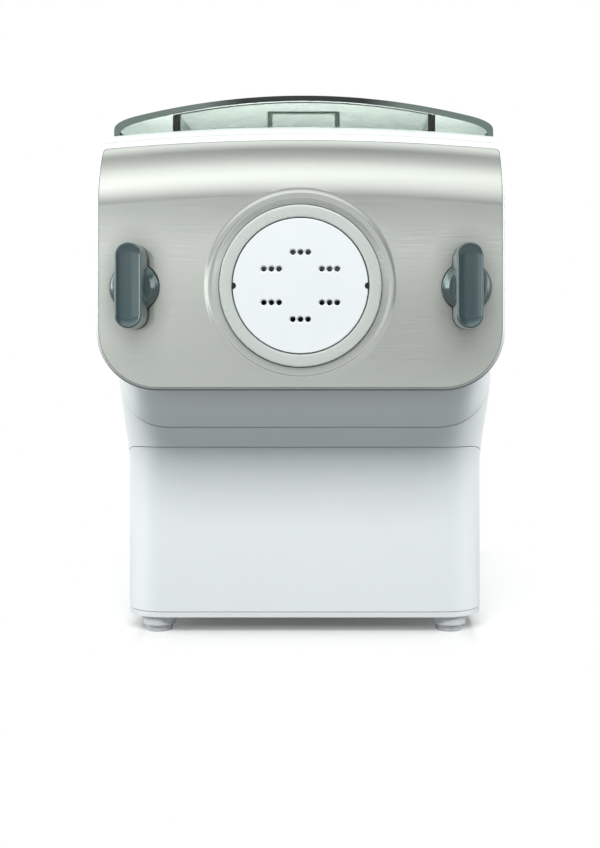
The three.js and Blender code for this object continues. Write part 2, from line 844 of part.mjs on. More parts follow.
function shaftSealSolid() {
  const inner = driveShaftRadius + seatGap;
  const front = chamberRearY - chamberWall;
  const flangeY = chamberRearY + seatGap;
  return turnedAboutY([
    [inner, front],
    [sealRadius, front],
    [sealRadius, flangeY],
    [sealFlangeRadius, flangeY],
    [sealFlangeRadius, flangeY + sealFlangeThickness],
    [inner, flangeY + sealFlangeThickness],
    [inner, front],
  ]);
}

// The mixing paddle: a hub with arms in a spiral, each ending in a bar along the chamber wall
function mixingPaddleSolid() {
  const startY = chamberFrontY + chamberWall * 2 + runningGap;
  const endY = chamberRearY - chamberWall - slideGap;
  const hub = turnedAboutY(rodProfile(paddleHubRadius, startY, endY), smallRoundSides * 2);
  const spacing = (endY - startY - paddleBarLength) / (paddleArms - 1);
  const arms = [];
  for (let arm = 0; arm < paddleArms; arm += 1) {
    const y = startY + paddleBarLength / 2 + arm * spacing;
    const spoke = block(
      -paddleArmWidth / 2, paddleArmWidth / 2,
      y - paddleArmThickness / 2, y + paddleArmThickness / 2,
      0, paddleReach - paddleArmThickness / 2,
    );
    const bar = block(
      -paddleArmWidth / 2, paddleArmWidth / 2,
      y - paddleBarLength / 2, y + paddleBarLength / 2,
      paddleReach - paddleArmThickness, paddleReach,
    );
    arms.push(joined(spoke, bar).rotate([0, (arm * 360) / paddleArms, 0]));
  }
  const bore = turnedAboutY(
    rodProfile(driveShaftRadius + seatGap, startY - overrun, endY + overrun),
    smallRoundSides,
  );
  return cut(joined(hub, ...arms), bore);
}

// The drive shaft runs from the screw's socket, through the seal and bearing, to the output gear
function driveShaftSolid() {
  const frontEnd = chamberFrontY + chamberWall * 2 - screwSocketDepth + seatGap;
  const seatStart = bulkheadY;
  const endY = outputGearY + gearWidth / 2 + seatGap;
  return turnedAboutY([
    [0, frontEnd],
    [driveShaftRadius, frontEnd],
    [driveShaftRadius, seatStart],
    [bearingSeatRadius, seatStart],
    [bearingSeatRadius, gearboxFrontY + gearSpacing - seatGap],
    [driveShaftRadius, gearboxFrontY + gearSpacing - seatGap],
    [driveShaftRadius, endY],
    [0, endY],
  ], smallRoundSides);
}

function outputBearingSolid() {
  const width = bulkheadThickness + seatGap;
  const profile = ringProfile(bearingSeatRadius + seatGap, bearingRadius, bulkheadY, bulkheadY + width);
  return turnedAboutY(profile);
}

// The bulkhead closes the chamber bay off from the motor bay and holds the bearing
function bulkheadSolid() {
  const plate = alongY(housingOutline(wall + seatGap), bulkheadY, bulkheadY + bulkheadThickness);
  const bearingHole = turnedAboutY(
    rodProfile(bearingRadius + seatGap, bulkheadY - overrun, bulkheadY + overrun * 2),
  ).translate([0, 0, axisZ]);
  const axleHole = turnedAboutY(
    rodProfile(axleRadius + seatGap, bulkheadY + bulkheadThickness / 2, bulkheadY + overrun * 2),
    smallRoundSides,
  ).translate([0, 0, compoundZ]);
  return cut(plate, bearingHole, axleHole);
}

// A spur gear's outline: tapered teeth with room for backlash, drawn round its own axis
function gearOutline(teeth, pitchRadius, phaseShare) {
  const gearModule = (pitchRadius * 2) / teeth;
  const tip = pitchRadius + gearModule * addendumShare;
  const root = pitchRadius - gearModule * dedendumShare;
  const pitchAngle = fullTurn / teeth;
  const half = (pitchAngle * toothWidthShare) / 2;
  const spread = Math.tan(pressureAngle);
  const points = [];
  for (let tooth = 0; tooth < teeth; tooth += 1) {
    const middle = (tooth + phaseShare) * pitchAngle;
    const rootHalf = half + (spread * (pitchRadius - root)) / pitchRadius;
    const tipHalf = Math.max(half - (spread * (tip - pitchRadius)) / pitchRadius, half * toothTipShare);
    const corners = [
      [root, middle - rootHalf],
      [tip, middle - tipHalf],
      [tip, middle + tipHalf],
      [root, middle + rootHalf],
    ];
    for (const [radius, angle] of corners) {
      points.push(new THREE.Vector2(radius * Math.cos(angle), radius * Math.sin(angle)));
    }
  }
  return new THREE.Shape(points);
}

function gearSolid(teeth, pitchRadius, phaseShare, centreY, boreRadius) {
  const outline = gearOutline(teeth, pitchRadius, phaseShare);
  const gear = alongY(outline, centreY - gearWidth / 2, centreY + gearWidth / 2);
  const bore = rodProfile(boreRadius, centreY - gearWidth, centreY + gearWidth);
  return cut(gear, turnedAboutY(bore, smallRoundSides));
}

// Pinions start half a pitch round, so their teeth sit in the gaps of the wheels
const outputGearSolid = () => gearSolid(
  gearTeeth, outputPitchRadius, wheelPhaseShare, outputGearY, driveShaftRadius + seatGap,
);

// The compound gear: a small pinion that meets the output gear, on a large gear that meets the motor
function compoundGearSolid() {
  const pinion = gearSolid(
    pinionTeeth, compoundPinionPitchRadius, pinionPhaseShare, outputGearY, axleRadius + seatGap,
  );
  const wheel = gearSolid(
    gearTeeth, compoundPitchRadius, wheelPhaseShare, motorGearY, axleRadius + seatGap,
  );
  const neckStart = outputGearY + gearWidth / 2 - seatGap;
  const neckEnd = motorGearY - gearWidth / 2 + seatGap;
  const neck = turnedAboutY(
    ringProfile(axleRadius + seatGap, compoundPinionPitchRadius - axleRadius / 2, neckStart, neckEnd),
    smallRoundSides,
  );
  return joined(pinion, neck, wheel);
}

const motorPinionSolid = () => gearSolid(
  pinionTeeth, motorPinionPitchRadius, pinionPhaseShare, motorGearY, motorShaftRadius + seatGap,
);

function compoundAxleSolid() {
  const start = bulkheadY + bulkheadThickness / 2 + seatGap;
  return turnedAboutY(rodProfile(axleRadius, start, gearboxRearY - seatGap), smallRoundSides);
}

// The gearbox case: two round lobes joined by their tangents, open towards the bulkhead
function gearboxOutline(inset) {
  const lower = gearboxLowerRadius - inset;
  const upper = gearboxUpperRadius - inset;
  const lean = Math.asin((gearboxLowerRadius - gearboxUpperRadius) / (compoundZ - axisZ));
  const shape = new THREE.Shape();
  shape.absarc(0, axisZ, lower, Math.PI - lean, fullTurn + lean, false);
  shape.absarc(0, compoundZ, upper, lean, Math.PI - lean, false);
  shape.closePath();
  return shape;
}

function gearboxCaseSolid() {
  const outside = alongY(gearboxOutline(0), gearboxFrontY, gearboxRearY, archSteps);
  const inside = alongY(
    gearboxOutline(gearboxWall), gearboxFrontY - overrun, gearboxRearY - gearboxWall, archSteps,
  );
  const axleHole = turnedAboutY(
    rodProfile(axleRadius + seatGap, gearboxRearY - overrun, gearboxRearY + overrun), smallRoundSides,
  ).translate([0, 0, compoundZ]);
  const motorHole = turnedAboutY(
    rodProfile(motorShaftRadius + runningGap, gearboxRearY - overrun, gearboxRearY + overrun),
    smallRoundSides,
  ).translate([0, 0, motorZ]);
  return cut(outside, inside, axleHole, motorHole);
}

// The motor, all round its own axis
function motorCanSolid() {
  const inner = motorRadius - motorWall;
  const hole = motorShaftRadius + runningGap;
  return turnedAboutY([
    [hole, motorFrontY],
    [motorRadius, motorFrontY],
    [motorRadius, motorRearY],
    [inner, motorRearY],
    [inner, motorFrontY + motorWall],
    [hole, motorFrontY + motorWall],
    [hole, motorFrontY],
  ]);
}

function statorSolid() {
  const middle = (motorFrontY + motorRearY) / 2;
  const outer = motorRadius - motorWall - seatGap;
  const profile = ringProfile(
    statorBoreRadius, outer, middle - statorLength / 2, middle + statorLength / 2,
  );
  return turnedAboutY(profile);
}

function motorEndCapSolid() {
  const start = motorRearY + seatGap;
  const profile = ringProfile(motorShaftRadius + runningGap, motorRadius, start, start + motorCapThickness);
  return turnedAboutY(profile);
}

function rotorSolid() {
  const middle = (motorFrontY + motorRearY) / 2;
  const fanEnd = motorRearY + motorCapThickness + fanWidth + swingGap;
  const shaftStart = motorGearY - gearWidth / 2;
  return turnedAboutY([
    [0, shaftStart],
    [motorShaftRadius, shaftStart],
    [motorShaftRadius, middle - rotorLength / 2],
    [rotorRadius, middle - rotorLength / 2],
    [rotorRadius, middle + rotorLength / 2],
    [motorShaftRadius, middle + rotorLength / 2],
    [motorShaftRadius, fanEnd],
    [0, fanEnd],
  ], smallRoundSides * 2);
}

function coolingFanSolid() {
  const start = motorRearY + motorCapThickness + swingGap - seatGap;
  const end = start + fanWidth;
  const hub = turnedAboutY(rodProfile(fanHubRadius, start, end), smallRoundSides);
  const blades = [];
  for (let blade = 0; blade < fanBlades; blade += 1) {
    const flat = block(
      fanHubRadius / 2, fanRadius,
      -fanBladeThickness / 2, fanBladeThickness / 2,
      -fanWidth / 2 - fanBladeThickness, fanWidth / 2 + fanBladeThickness,
    );
    const pitched = flat.rotate([(fanPitch * 180) / Math.PI, 0, 0]);
    blades.push(pitched.rotate([0, (blade * 360) / fanBlades, 0]).translate([0, (start + end) / 2, 0]));
  }
  const trimmed = joined(...blades).intersect(turnedAboutY(rodProfile(fanRadius, start, end)));
  const bore = turnedAboutY(
    rodProfile(motorShaftRadius + seatGap, start - overrun, end + overrun), smallRoundSides,
  );
  return cut(joined(hub, trimmed), bore);
}

// The motor's saddle stands on the housing floor
function motorMountSolid() {
  const floorZ = housingBottomZ + wall + seatGap;
  const middle = (motorFrontY + motorRearY) / 2;
  const shape = new THREE.Shape();
  shape.moveTo(-mountHalfWidth, floorZ);
  shape.lineTo(mountHalfWidth, floorZ);
  shape.lineTo(mountHalfWidth, floorZ + mountFootHeight);
  shape.lineTo(mountHalfWidth * 2 / 3, motorZ - motorRadius / 2);
  shape.lineTo(-mountHalfWidth * 2 / 3, motorZ - motorRadius / 2);
  shape.lineTo(-mountHalfWidth, floorZ + mountFootHeight);
  shape.closePath();
  const saddle = alongY(shape, middle - mountLength / 2, middle + mountLength / 2);
  const seat = turnedAboutY(rodProfile(motorRadius + seatGap, middle - mountLength, middle + mountLength));
  return cut(saddle, seat.translate([0, 0, motorZ]));
}

// The upper housing: a saddle-bottomed body, the nose that carries the panel, and the rear hump
function housingOutside() {
  const body = alongY(housingOutline(), bodyFrontY, rearSeamY, archSteps)
    .intersect(planSolid(housingHalfWidth, bodyFrontY, rearFaceY));
  const nose = alongY(noseOutline(), noseFrontY, bodyFrontY + planCornerRadius + wall, archSteps)
    .intersect(alongX(noseProfile(), -panelWidth, panelWidth));
  const hump = alongY(lidOutline(0, deckCrownZ - deckFall - wall), humpFrontY, rearSeamY, archSteps)
    .intersect(planSolid(housingHalfWidth, bodyFrontY, rearFaceY));
  return joined(body, nose, hump);
}

function housingInside() {
  const plan = planSolid(housingHalfWidth, bodyFrontY, rearFaceY, wall, insideSteps);
  const body = alongY(housingOutline(wall), bodyFrontY + wall, rearFaceY, insideSteps * 2);
  const noseEnd = bodyFrontY + planCornerRadius + wall * 2;
  const nose = alongY(noseOutline(wall), noseFrontY + wall, noseEnd, insideSteps * 2)
    .intersect(alongX(noseProfile(wall), -panelWidth, panelWidth));
  const humpBottomZ = deckCrownZ - deckFall - wall * 3;
  const hump = alongY(lidOutline(wall, humpBottomZ), humpFrontY + wall, rearFaceY, insideSteps * 2);
  return joined(joined(body, hump).intersect(plan), nose);
}

// Ribs across the housing cradle the mixing chamber
function cradleRib(centreY) {
  const rib = alongY(housingOutline(wall / 2), centreY - wall / 2, centreY + wall / 2);
  const bed = alongY(
    chamberOutline(-seatGap, deckCrownZ + overrun), centreY - wall, centreY + wall, archSteps,
  );
  const above = block(-panelWidth, panelWidth, centreY - wall, centreY + wall, axisZ, lidCrownZ + overrun);
  return cut(rib, bed, above);
}

function lockSocketPlaces() {
  return [[knobX, 0, knobZ], [-knobX, 0, knobZ]];
}

function hingeBrackets() {
  const start = hingeInnerX;
  const end = hingeInnerX + hingeBracketLength;
  const barrel = turnedAboutX(rodProfile(hingeBarrelRadius, start, end), smallRoundSides * 2)
    .translate([0, hingeAxisY, hingeAxisZ]);
  const web = block(
    start, end, hingeAxisY, humpFrontY + wall, hingeAxisZ - hingeBarrelRadius * 2, hingeAxisZ,
  );
  const bracket = joined(barrel, web);
  return joined(bracket, mirroredX(bracket));
}

function hingePinTool(clearance) {
  const reach = hingeInnerX + hingeBracketLength + hingeOuterLength + overrun;
  return turnedAboutX(rodProfile(hingePinRadius + clearance, -reach, reach), smallRoundSides)
    .translate([0, hingeAxisY, hingeAxisZ]);
}

function controlPlateOutline(grow) {
  const halfLength = controlHalfLength + grow;
  const halfHeight = controlHalfHeight + grow;
  const corner = controlCornerRadius + grow;
  const shape = new THREE.Shape();
  const low = controlZ - halfHeight;
  const high = controlZ + halfHeight;
  const near = controlY - halfLength;
  const far = controlY + halfLength;
  shape.absarc(far - corner, low + corner, corner, -quarterTurn, 0, false);
  shape.absarc(far - corner, high - corner, corner, 0, quarterTurn, false);
  shape.absarc(near + corner, high - corner, corner, quarterTurn, Math.PI, false);
  shape.absarc(near + corner, low + corner, corner, Math.PI, 3 * quarterTurn, false);
  shape.closePath();
  return shape;
}

function boardCornerPlaces() {
  const places = [];
  for (const alongSide of [-1, 1]) {
    for (const upSide of [-1, 1]) {
      const y = controlY + alongSide * (boardHalfLength - boardPostInset);
      const z = controlZ + upSide * (boardHalfHeight - boardPostRadius - seatGap);
      places.push([y, z]);
    }
  }
  return places;
}

function upperHousingSolid() {
  const shell = cut(housingOutside(), housingInside());
  const sockets = lockSocketPlaces().map((place) => turnedAboutY(
    ringProfile(lockSocketRadius, lockSocketRadius + lockSocketWall, noseFrontY, noseFrontY + lockSocketDepth),
    smallRoundSides,
  ).translate(place));
  const posts = boardCornerPlaces().map(([y, z]) => turnedAboutX(
    rodProfile(boardPostRadius, housingHalfWidth - boardInset + seatGap, housingHalfWidth - wall / 2),
    tinyRoundSides,
  ).translate([0, y, z]));
  const ribs = [chamberFrontY + cradleRibInset, chamberRearY - cradleRibInset].map(cradleRib);
  const whole = joined(shell, ...sockets, ...posts, ...ribs, hingeBrackets());
  const chamberDoor = alongY(
    chamberOutline(-slideGap, chamberTopZ + slideGap), noseFrontY - overrun, noseFrontY + overrun, archSteps,
  );
  const deckOpening = block(
    -lidFrameHalfWidth - slideGap, lidFrameHalfWidth + slideGap,
    deckOpeningFrontY, deckOpeningRearY,
    chamberTopZ, lidCrownZ,
  );
  const lockHoles = lockSocketPlaces().map((place) => turnedAboutY(
    rodProfile(lockSocketRadius, noseFrontY - overrun, noseFrontY + overrun), smallRoundSides,
  ).translate(place));
  const controlHole = alongX(
    controlPlateOutline(seatGap), housingHalfWidth - wall * 2, housingHalfWidth + overrun,
  );
  return cut(whole, chamberDoor, deckOpening, ...lockHoles, controlHole, hingePinTool(seatGap));
}

// The lower base: upright sides that flare out to meet the housing, which sits in the base's saddle
function flaredHalfWidth(z) {
  const along = THREE.MathUtils.clamp((z - baseFlareStartZ) / (baseFlareEndZ - baseFlareStartZ), 0, 1);
  return THREE.MathUtils.lerp(baseHalfWidth, housingHalfWidth, along * along * (3 - 2 * along));
}

// Plan outlines of equal count, one above another, skinned into one closed solid
function lofted(levels) {
  const rings = levels.map(({ outline, z }) => (
    outline.getPoints(arcSteps).slice(1).map((point) => [point.x, point.y, z])
  ));
  const count = rings[0].length;
  const points = rings.flat(2);
  const corners = [];
  for (let level = 0; level + 1 < rings.length; level += 1) {
    for (let side = 0; side < count; side += 1) {
      const here = level * count + side;
      const beside = level * count + ((side + 1) % count);
      corners.push(here, beside, here + count, here + count, beside, beside + count);
    }
  }
  const cap = THREE.ShapeUtils.triangulateShape(rings[0].map(([x, y]) => new THREE.Vector2(x, y)), []);
  const lastRing = (rings.length - 1) * count;
  for (const [a, b, c] of cap) {
    corners.push(a, c, b);
    corners.push(lastRing + a, lastRing + b, lastRing + c);
  }
  const geometry = new THREE.BufferGeometry();
  geometry.setAttribute('position', new THREE.BufferAttribute(new Float32Array(points), 3));
  geometry.setIndex(corners);
  return solid(geometry);
}

function baseLoft(inset, bottomZ, topZ) {
  const heights = [bottomZ];
  for (let step = 0; step <= flareSteps; step += 1) {
    heights.push(THREE.MathUtils.lerp(baseFlareStartZ, baseFlareEndZ, step / flareSteps));
  }
  const inside = heights.filter((z, index) => index === 0 || (z > bottomZ + seatGap && z < topZ - seatGap));
  return lofted([...inside, topZ].map((z) => ({
    z,
    outline: planOutline(
      flaredHalfWidth(z) - inset, bodyFrontY + inset, baseRearY - inset, planCornerRadius - inset,
    ),
  })));
}

// The drawer's front view; its round upper corners reach just past the side of the base
function drawerOutline(grow) {
  const half = baseHalfWidth + drawerCornerOverhang + grow;
  const top = drawerTopZ + grow;
  const corner = drawerCornerRadius + grow;
  const shape = new THREE.Shape();
  shape.moveTo(-half, -overrun);
  shape.lineTo(half, -overrun);
  shape.absarc(half - corner, top - corner, corner, 0, quarterTurn, false);
  shape.absarc(-half + corner, top - corner, corner, quarterTurn, Math.PI, false);
  shape.closePath();
  return shape;
}

function screwPostPlaces() {
  const front = bodyFrontY + screwPostFrontSetback;
  const rear = baseRearY - screwPostRearInset;
  return [[-screwPostX, front], [screwPostX, front], [-screwPostX, rear], [screwPostX, rear]];
}

function lowerBaseSolid() {
  const bottom = basePlateTopZ + seatGap;
  const saddle = alongY(housingOutline(-seatGap), bodyFrontY - overrun, baseRearY + overrun, archSteps);
  const ceiling = housingBottomZ - wall;
  const inside = baseLoft(wall, -overrun, ceiling);
  const postSpots = screwPostPlaces();
  const posts = postSpots.map(([x, y]) => turnedAboutZ(
    rodProfile(screwPostRadius, bottom, ceiling + wall / 2), tinyRoundSides,
  ).translate([x, y, 0]));
  const pilots = postSpots.map(([x, y]) => turnedAboutZ(
    rodProfile(screwShankRadius + seatGap, bottom - overrun, basePlateTopZ + screwBite + seatGap),
    tinyRoundSides,
  ).translate([x, y, 0]));
  const drawerWay = alongY(drawerOutline(seatGap), bodyFrontY - overrun, drawerRearOfFrontY + seatGap);
  const shell = cut(baseLoft(0, bottom, baseCheekTopZ), inside);
  return cut(joined(shell, ...posts), saddle, ...pilots, drawerWay);
}

function basePlateSolid() {
  const inset = basePlateInset;
  const shape = planOutline(
    baseHalfWidth - inset, bodyFrontY + inset, baseRearY - inset, planCornerRadius - inset,
  );
  const plate = alongZ(shape, footHeight, basePlateTopZ);
  const shanks = screwPostPlaces().map(([x, y]) => turnedAboutZ(
    rodProfile(screwShankRadius + seatGap, footHeight - overrun, basePlateTopZ + overrun), tinyRoundSides,
  ).translate([x, y, 0]));
  const heads = screwPostPlaces().map(([x, y]) => turnedAboutZ(
    rodProfile(screwHeadRadius + seatGap, footHeight - overrun, footHeight + screwHeadHeight), tinyRoundSides,
  ).translate([x, y, 0]));
  return cut(plate, ...shanks, ...heads);
}

function baseScrewSolid() {
  const headTop = footHeight + screwHeadHeight - seatGap;
  return turnedAboutZ([
    [0, footHeight],
    [screwHeadRadius, footHeight],
    [screwHeadRadius, headTop],
    [screwShankRadius, headTop],
    [screwShankRadius, basePlateTopZ + screwBite],
    [0, basePlateTopZ + screwBite],
  ], tinyRoundSides);
}

// A foot in two steps; its top meets the base plate
function footSolid() {
  return turnedAboutZ([
    [0, 0],
    [footLowerRadius, 0],
    [footLowerRadius, footStepZ],
    [footUpperRadius, footStepZ],
    [footUpperRadius, footHeight - seatGap],
    [0, footHeight - seatGap],
  ]);
}

// The drawer: a hollow front that wraps both corners, and an open tray behind it
function drawerFrontSolid() {
  const bottom = basePlateTopZ + seatGap;
  const slab = block(-panelWidth, panelWidth, bodyFrontY - overrun, drawerRearOfFrontY, bottom, drawerTopZ);
  const blank = baseLoft(0, bottom, baseCheekTopZ)
    .intersect(slab)
    .intersect(alongY(drawerOutline(0), bodyFrontY - overrun, baseRearY));
  const hollow = baseLoft(wall, bottom + wall, drawerTopZ - wall);
  return cut(blank, hollow);
}

function drawerTraySolid() {
  const bottom = basePlateTopZ + wall + seatGap * 2;
  const plateFrontY = drawerRearOfFrontY - drawerTrayWall;
  const slab = block(-panelWidth, panelWidth, plateFrontY, drawerRearOfFrontY, bottom, drawerTopZ);
  const plate = baseLoft(wall + seatGap, bottom, drawerTopZ - wall - seatGap).intersect(slab);
  const floorZ = basePlateTopZ + seatGap;
  const box = block(
    -drawerTrayHalfWidth, drawerTrayHalfWidth,
    drawerRearOfFrontY + seatGap, drawerTrayRearY,
    floorZ, drawerTrayTopZ,
  );
  const link = block(
    -drawerTrayHalfWidth, drawerTrayHalfWidth,
    plateFrontY, drawerRearOfFrontY + drawerTrayWall,
    bottom, drawerTrayTopZ,
  );
  const hollow = block(
    -drawerTrayHalfWidth + drawerTrayWall, drawerTrayHalfWidth - drawerTrayWall,
    drawerRearOfFrontY + drawerTrayWall, drawerTrayRearY - drawerTrayWall,
    floorZ + drawerTrayWall, drawerTrayTopZ + overrun,
  );
  return cut(joined(plate, link, box), hollow);
}

// The rear cover: arched like the housing and the hump together, with vent slots and two windows
function rearCoverSolid() {
  const low = alongY(housingOutline(), rearSeamY + seatGap, rearFaceY, archSteps);
  const high = alongY(lidOutline(0, deckCrownZ - deckFall - wall), rearSeamY + seatGap, rearFaceY, archSteps);
  const plate = joined(low, high).intersect(planSolid(housingHalfWidth, bodyFrontY, rearFaceY));
  const slots = [];
  for (let slot = 0; slot < ventSlotCount; slot += 1) {
    const z = axisZ + (slot - (ventSlotCount - 1) / 2) * ventSlotPitch;
    slots.push(block(
      -ventSlotHalfLength, ventSlotHalfLength,
      rearSeamY - overrun, rearY + overrun,
      z - ventSlotHeight / 2, z + ventSlotHeight / 2,
    ));
  }
  const inletWindow = block(
    inletX - inletHalfWidth - seatGap, inletX + inletHalfWidth + seatGap,
    rearSeamY - overrun, rearY + overrun,
    inletZ - inletHalfHeight - seatGap, inletZ + inletHalfHeight + seatGap,
  );
  const switchWindow = block(
    inletX - switchHalfWidth - runningGap, inletX + switchHalfWidth + runningGap,
    rearSeamY - overrun, rearY + overrun,
    switchZ - switchHalfHeight - swingGap, switchZ + switchHalfHeight + swingGap,
  );
  return cut(plate, ...slots, inletWindow, switchWindow);
}

// The power inlet: a rimmed block with a socket and three contact pins
function powerInletSolid() {
  const body = block(
    inletX - inletHalfWidth, inletX + inletHalfWidth,
    rearFaceY - inletDepth, rearY - inletProud / 2,
    inletZ - inletHalfHeight, inletZ + inletHalfHeight,
  );
  const rim = block(
    inletX - inletHalfWidth - inletRim, inletX + inletHalfWidth + inletRim,
    rearFaceY + seatGap, rearY,
    inletZ - inletHalfHeight - inletRim, inletZ + inletHalfHeight + inletRim,
  );
  const socket = block(
    inletX - inletHalfWidth + inletRim, inletX + inletHalfWidth - inletRim,
    rearFaceY - inletSocketDepth, rearY + overrun,
    inletZ - inletHalfHeight + inletRim, inletZ + inletHalfHeight - inletRim,
  );
  const pinSpacing = inletHalfWidth / 2;
  const pins = [-1, 0, 1].map((place) => turnedAboutY(
    rodProfile(inletPinRadius, rearFaceY - inletSocketDepth - seatGap, rearFaceY - inletPinSetback),
    tinyRoundSides,
  ).translate([inletX + place * pinSpacing, 0, inletZ]));
  return joined(cut(joined(body, rim), socket), ...pins);
}

// The rocker of the power switch, round its own pivot; it rests tilted, and tips the other way
function powerSwitchSolid() {
  const reach = switchHalfHeight;
  const depth = switchDepth / 2;
  const shape = new THREE.Shape();
  shape.moveTo(-depth, -reach);
  shape.lineTo(depth - inletProud, -reach);
  shape.quadraticCurveTo(depth - inletProud * 2, 0, depth - inletProud, reach);
  shape.lineTo(-depth, reach);
  shape.closePath();
  return alongX(shape, -switchHalfWidth, switchHalfWidth);
}

// The control panel: a plate flush in the housing's side, held by a flange behind the wall
function controlPanelSolid() {
  const outerX = housingHalfWidth;
  const innerX = outerX - controlThickness - seatGap;
  const plate = alongX(controlPlateOutline(0), innerX - seatGap, outerX);
  const flange = alongX(
    controlPlateOutline(controlFlangeWidth), innerX - controlFlangeThickness - seatGap, innerX - seatGap,
  );
  const pocket = alongX(windowOutline(seatGap), outerX - windowThickness - seatGap, outerX + overrun);
  const holes = buttonPlaces().map(([y, z]) => turnedAboutX(
    rodProfile(buttonRadius + runningGap, innerX - overrun * 2, outerX + overrun), smallRoundSides,
  ).translate([0, y, z]));
  return cut(joined(plate, flange), pocket, ...holes);
}

function windowOutline(grow) {
  const shape = new THREE.Shape();
  const middle = controlZ + windowRise;
  shape.moveTo(controlY - windowHalfLength - grow, middle - windowHalfHeight - grow);
  shape.lineTo(controlY + windowHalfLength + grow, middle - windowHalfHeight - grow);
  shape.lineTo(controlY + windowHalfLength + grow, middle + windowHalfHeight + grow);
  shape.lineTo(controlY - windowHalfLength - grow, middle + windowHalfHeight + grow);
  shape.closePath();
  return shape;
}

const displayWindowSolid = () => alongX(
  windowOutline(0), housingHalfWidth - windowThickness, housingHalfWidth,
);

function buttonPlaces() {
  const places = [];
  for (let button = 0; button < buttonCount; button += 1) {
    const y = controlY + (button - (buttonCount - 1) / 2) * buttonSpacing;
    places.push([y, controlZ - buttonDrop]);
  }
  return places;
}

// A push button along X, captive behind the plate by its flange
function buttonSolid() {
  const flangeEnd = housingHalfWidth - controlThickness - controlFlangeThickness - swingGap + seatGap;
  const start = flangeEnd - buttonFlangeThickness;
  return turnedAboutX([
    [0, start],
    [buttonFlangeRadius, start],
    [buttonFlangeRadius, flangeEnd],
    [buttonRadius, flangeEnd],
    [buttonRadius, housingHalfWidth + buttonProud - seatGap],
    [buttonRadius - seatGap, housingHalfWidth + buttonProud],
    [0, housingHalfWidth + buttonProud],
  ], smallRoundSides);
}

function circuitBoardSolid() {
  const outerX = housingHalfWidth - boardInset;
  return block(
    outerX - boardThickness, outerX,
    controlY - boardHalfLength, controlY + boardHalfLength,
    controlZ - boardHalfHeight, controlZ + boardHalfHeight,
  );
}

// The lid: an arched shell, open below, with hinge barrels at its rear edge
function lidSolid() {
  const outside = alongY(lidOutline(), lidFrontY, lidRearY, archSteps);
  const inside = alongY(
    lidOutline(lidWall, deckCrownZ - deckFall - overrun), lidFrontY + lidWall, lidRearY - lidWall, archSteps,
  );
  const start = hingeInnerX + hingeBracketLength + seatGap;
  const end = start + hingeOuterLength;
  const spans = [[-hingeInnerX + seatGap, hingeInnerX - seatGap], [start, end], [-end, -start]];
  const barrels = spans.map(([from, to]) => turnedAboutX(
    rodProfile(hingeBarrelRadius, from, to), smallRoundSides * 2,
  ).translate([0, hingeAxisY, hingeAxisZ]));
  const notch = block(
    hingeInnerX - seatGap, start,
    hingeAxisY - hingeBarrelRadius - seatGap * 2, hingeAxisY + hingeBarrelRadius * 2,
    hingeAxisZ - hingeBarrelRadius * 3, hingeAxisZ + hingeBarrelRadius + seatGap * 2,
  );
  return cut(joined(cut(outside, inside), ...barrels), notch, mirroredX(notch), hingePinTool(seatGap));
}

// The frame inside the lid that closes on the chamber's rim
function lidFrameSolid() {
  const half = lidFrameHalfWidth;
  const startY = chamberFrontY;
  const endY = chamberRearY - lidWall;
  const bottom = chamberTopZ + seatGap * 2;
  const under = alongY(lidOutline(lidWall + seatGap, bottom), startY, endY, archSteps);
  const outer = block(-half, half, startY, endY, bottom, lidCrownZ);
  const inner = block(
    -half + lidFrameWall, half - lidFrameWall,
    startY + lidFrameWall, endY - lidFrameWall,
    bottom - overrun, lidCrownZ + overrun,
  );
  return cut(under.intersect(outer), inner);
}

// The catch moulded on the front of the lid: an upright frame, open below
function lidCatchSolid() {
  const bottom = deckCrownZ + seatGap * 2;
  const backY = lidFrontY - seatGap;
  const outer = block(
    -lidCatchHalfWidth, lidCatchHalfWidth, backY - lidCatchProud, backY, bottom, lidCatchTopZ,
  );
  const inner = block(
    -lidCatchHalfWidth + lidCatchLeg, lidCatchHalfWidth - lidCatchLeg,
    backY - lidCatchProud * 2, backY + lidCatchProud,
    bottom - overrun, lidCatchTopZ - lidCatchBar,
  );
  return cut(outer, inner);
}

function hingePinSolid() {
  const reach = hingeInnerX + hingeBracketLength + hingeOuterLength;
  return turnedAboutX(rodProfile(hingePinRadius, -reach, reach), smallRoundSides);
}

// Colours of the materials
const white = 0xeff2f2;
const silver = 0xb3b8b0;
const ringGrey = 0xc9cec8;
const discWhite = 0xeef1f2;
const slate = 0x4a5a5d;
const smoke = 0xa9b8ac;
const clearGrey = 0xd8dde0;
const darkPlastic = 0x2b2f33;
const steel = 0xb9bdc1;
const gearNylon = 0xe7e3d6;
const copper = 0xb4683c;
const boardGreen = 0x2f6b46;
const rubberWhite = 0xe4e7e8;
const sealGrey = 0x9aa2a6;

const origin = new THREE.Vector3();
const onAxis = new THREE.Vector3(0, 0, axisZ);

function frontPanelGroup() {
  const collarPlace = new THREE.Vector3(0, panelFaceY, axisZ);
  return gathered(
    origin,
    namedMesh('front_panel_shell', panelShellSolid(), white, 0.45),
    namedMesh('front_panel_skin', panelSkinSolid(), silver, 0.35, 0.9),
    gathered(collarPlace, namedMesh('disc_collar', discCollarSolid(), ringGrey, 0.4)),
  );
}

function lockKnobGroup(side, sign) {
  const seat = new THREE.Vector3(sign * knobX, panelShellFaceY - seatGap, knobZ);
  const shaftPlace = new THREE.Vector3(sign * knobX, 0, knobZ);
  return gathered(
    origin,
    gathered(seat, namedMesh(`lock_knob_${side}`, knobSolid(), slate, 0.4)),
    gathered(shaftPlace, namedMesh(`lock_shaft_${side}`, lockShaftSolid(), steel, 0.4, 0.9)),
  );
}

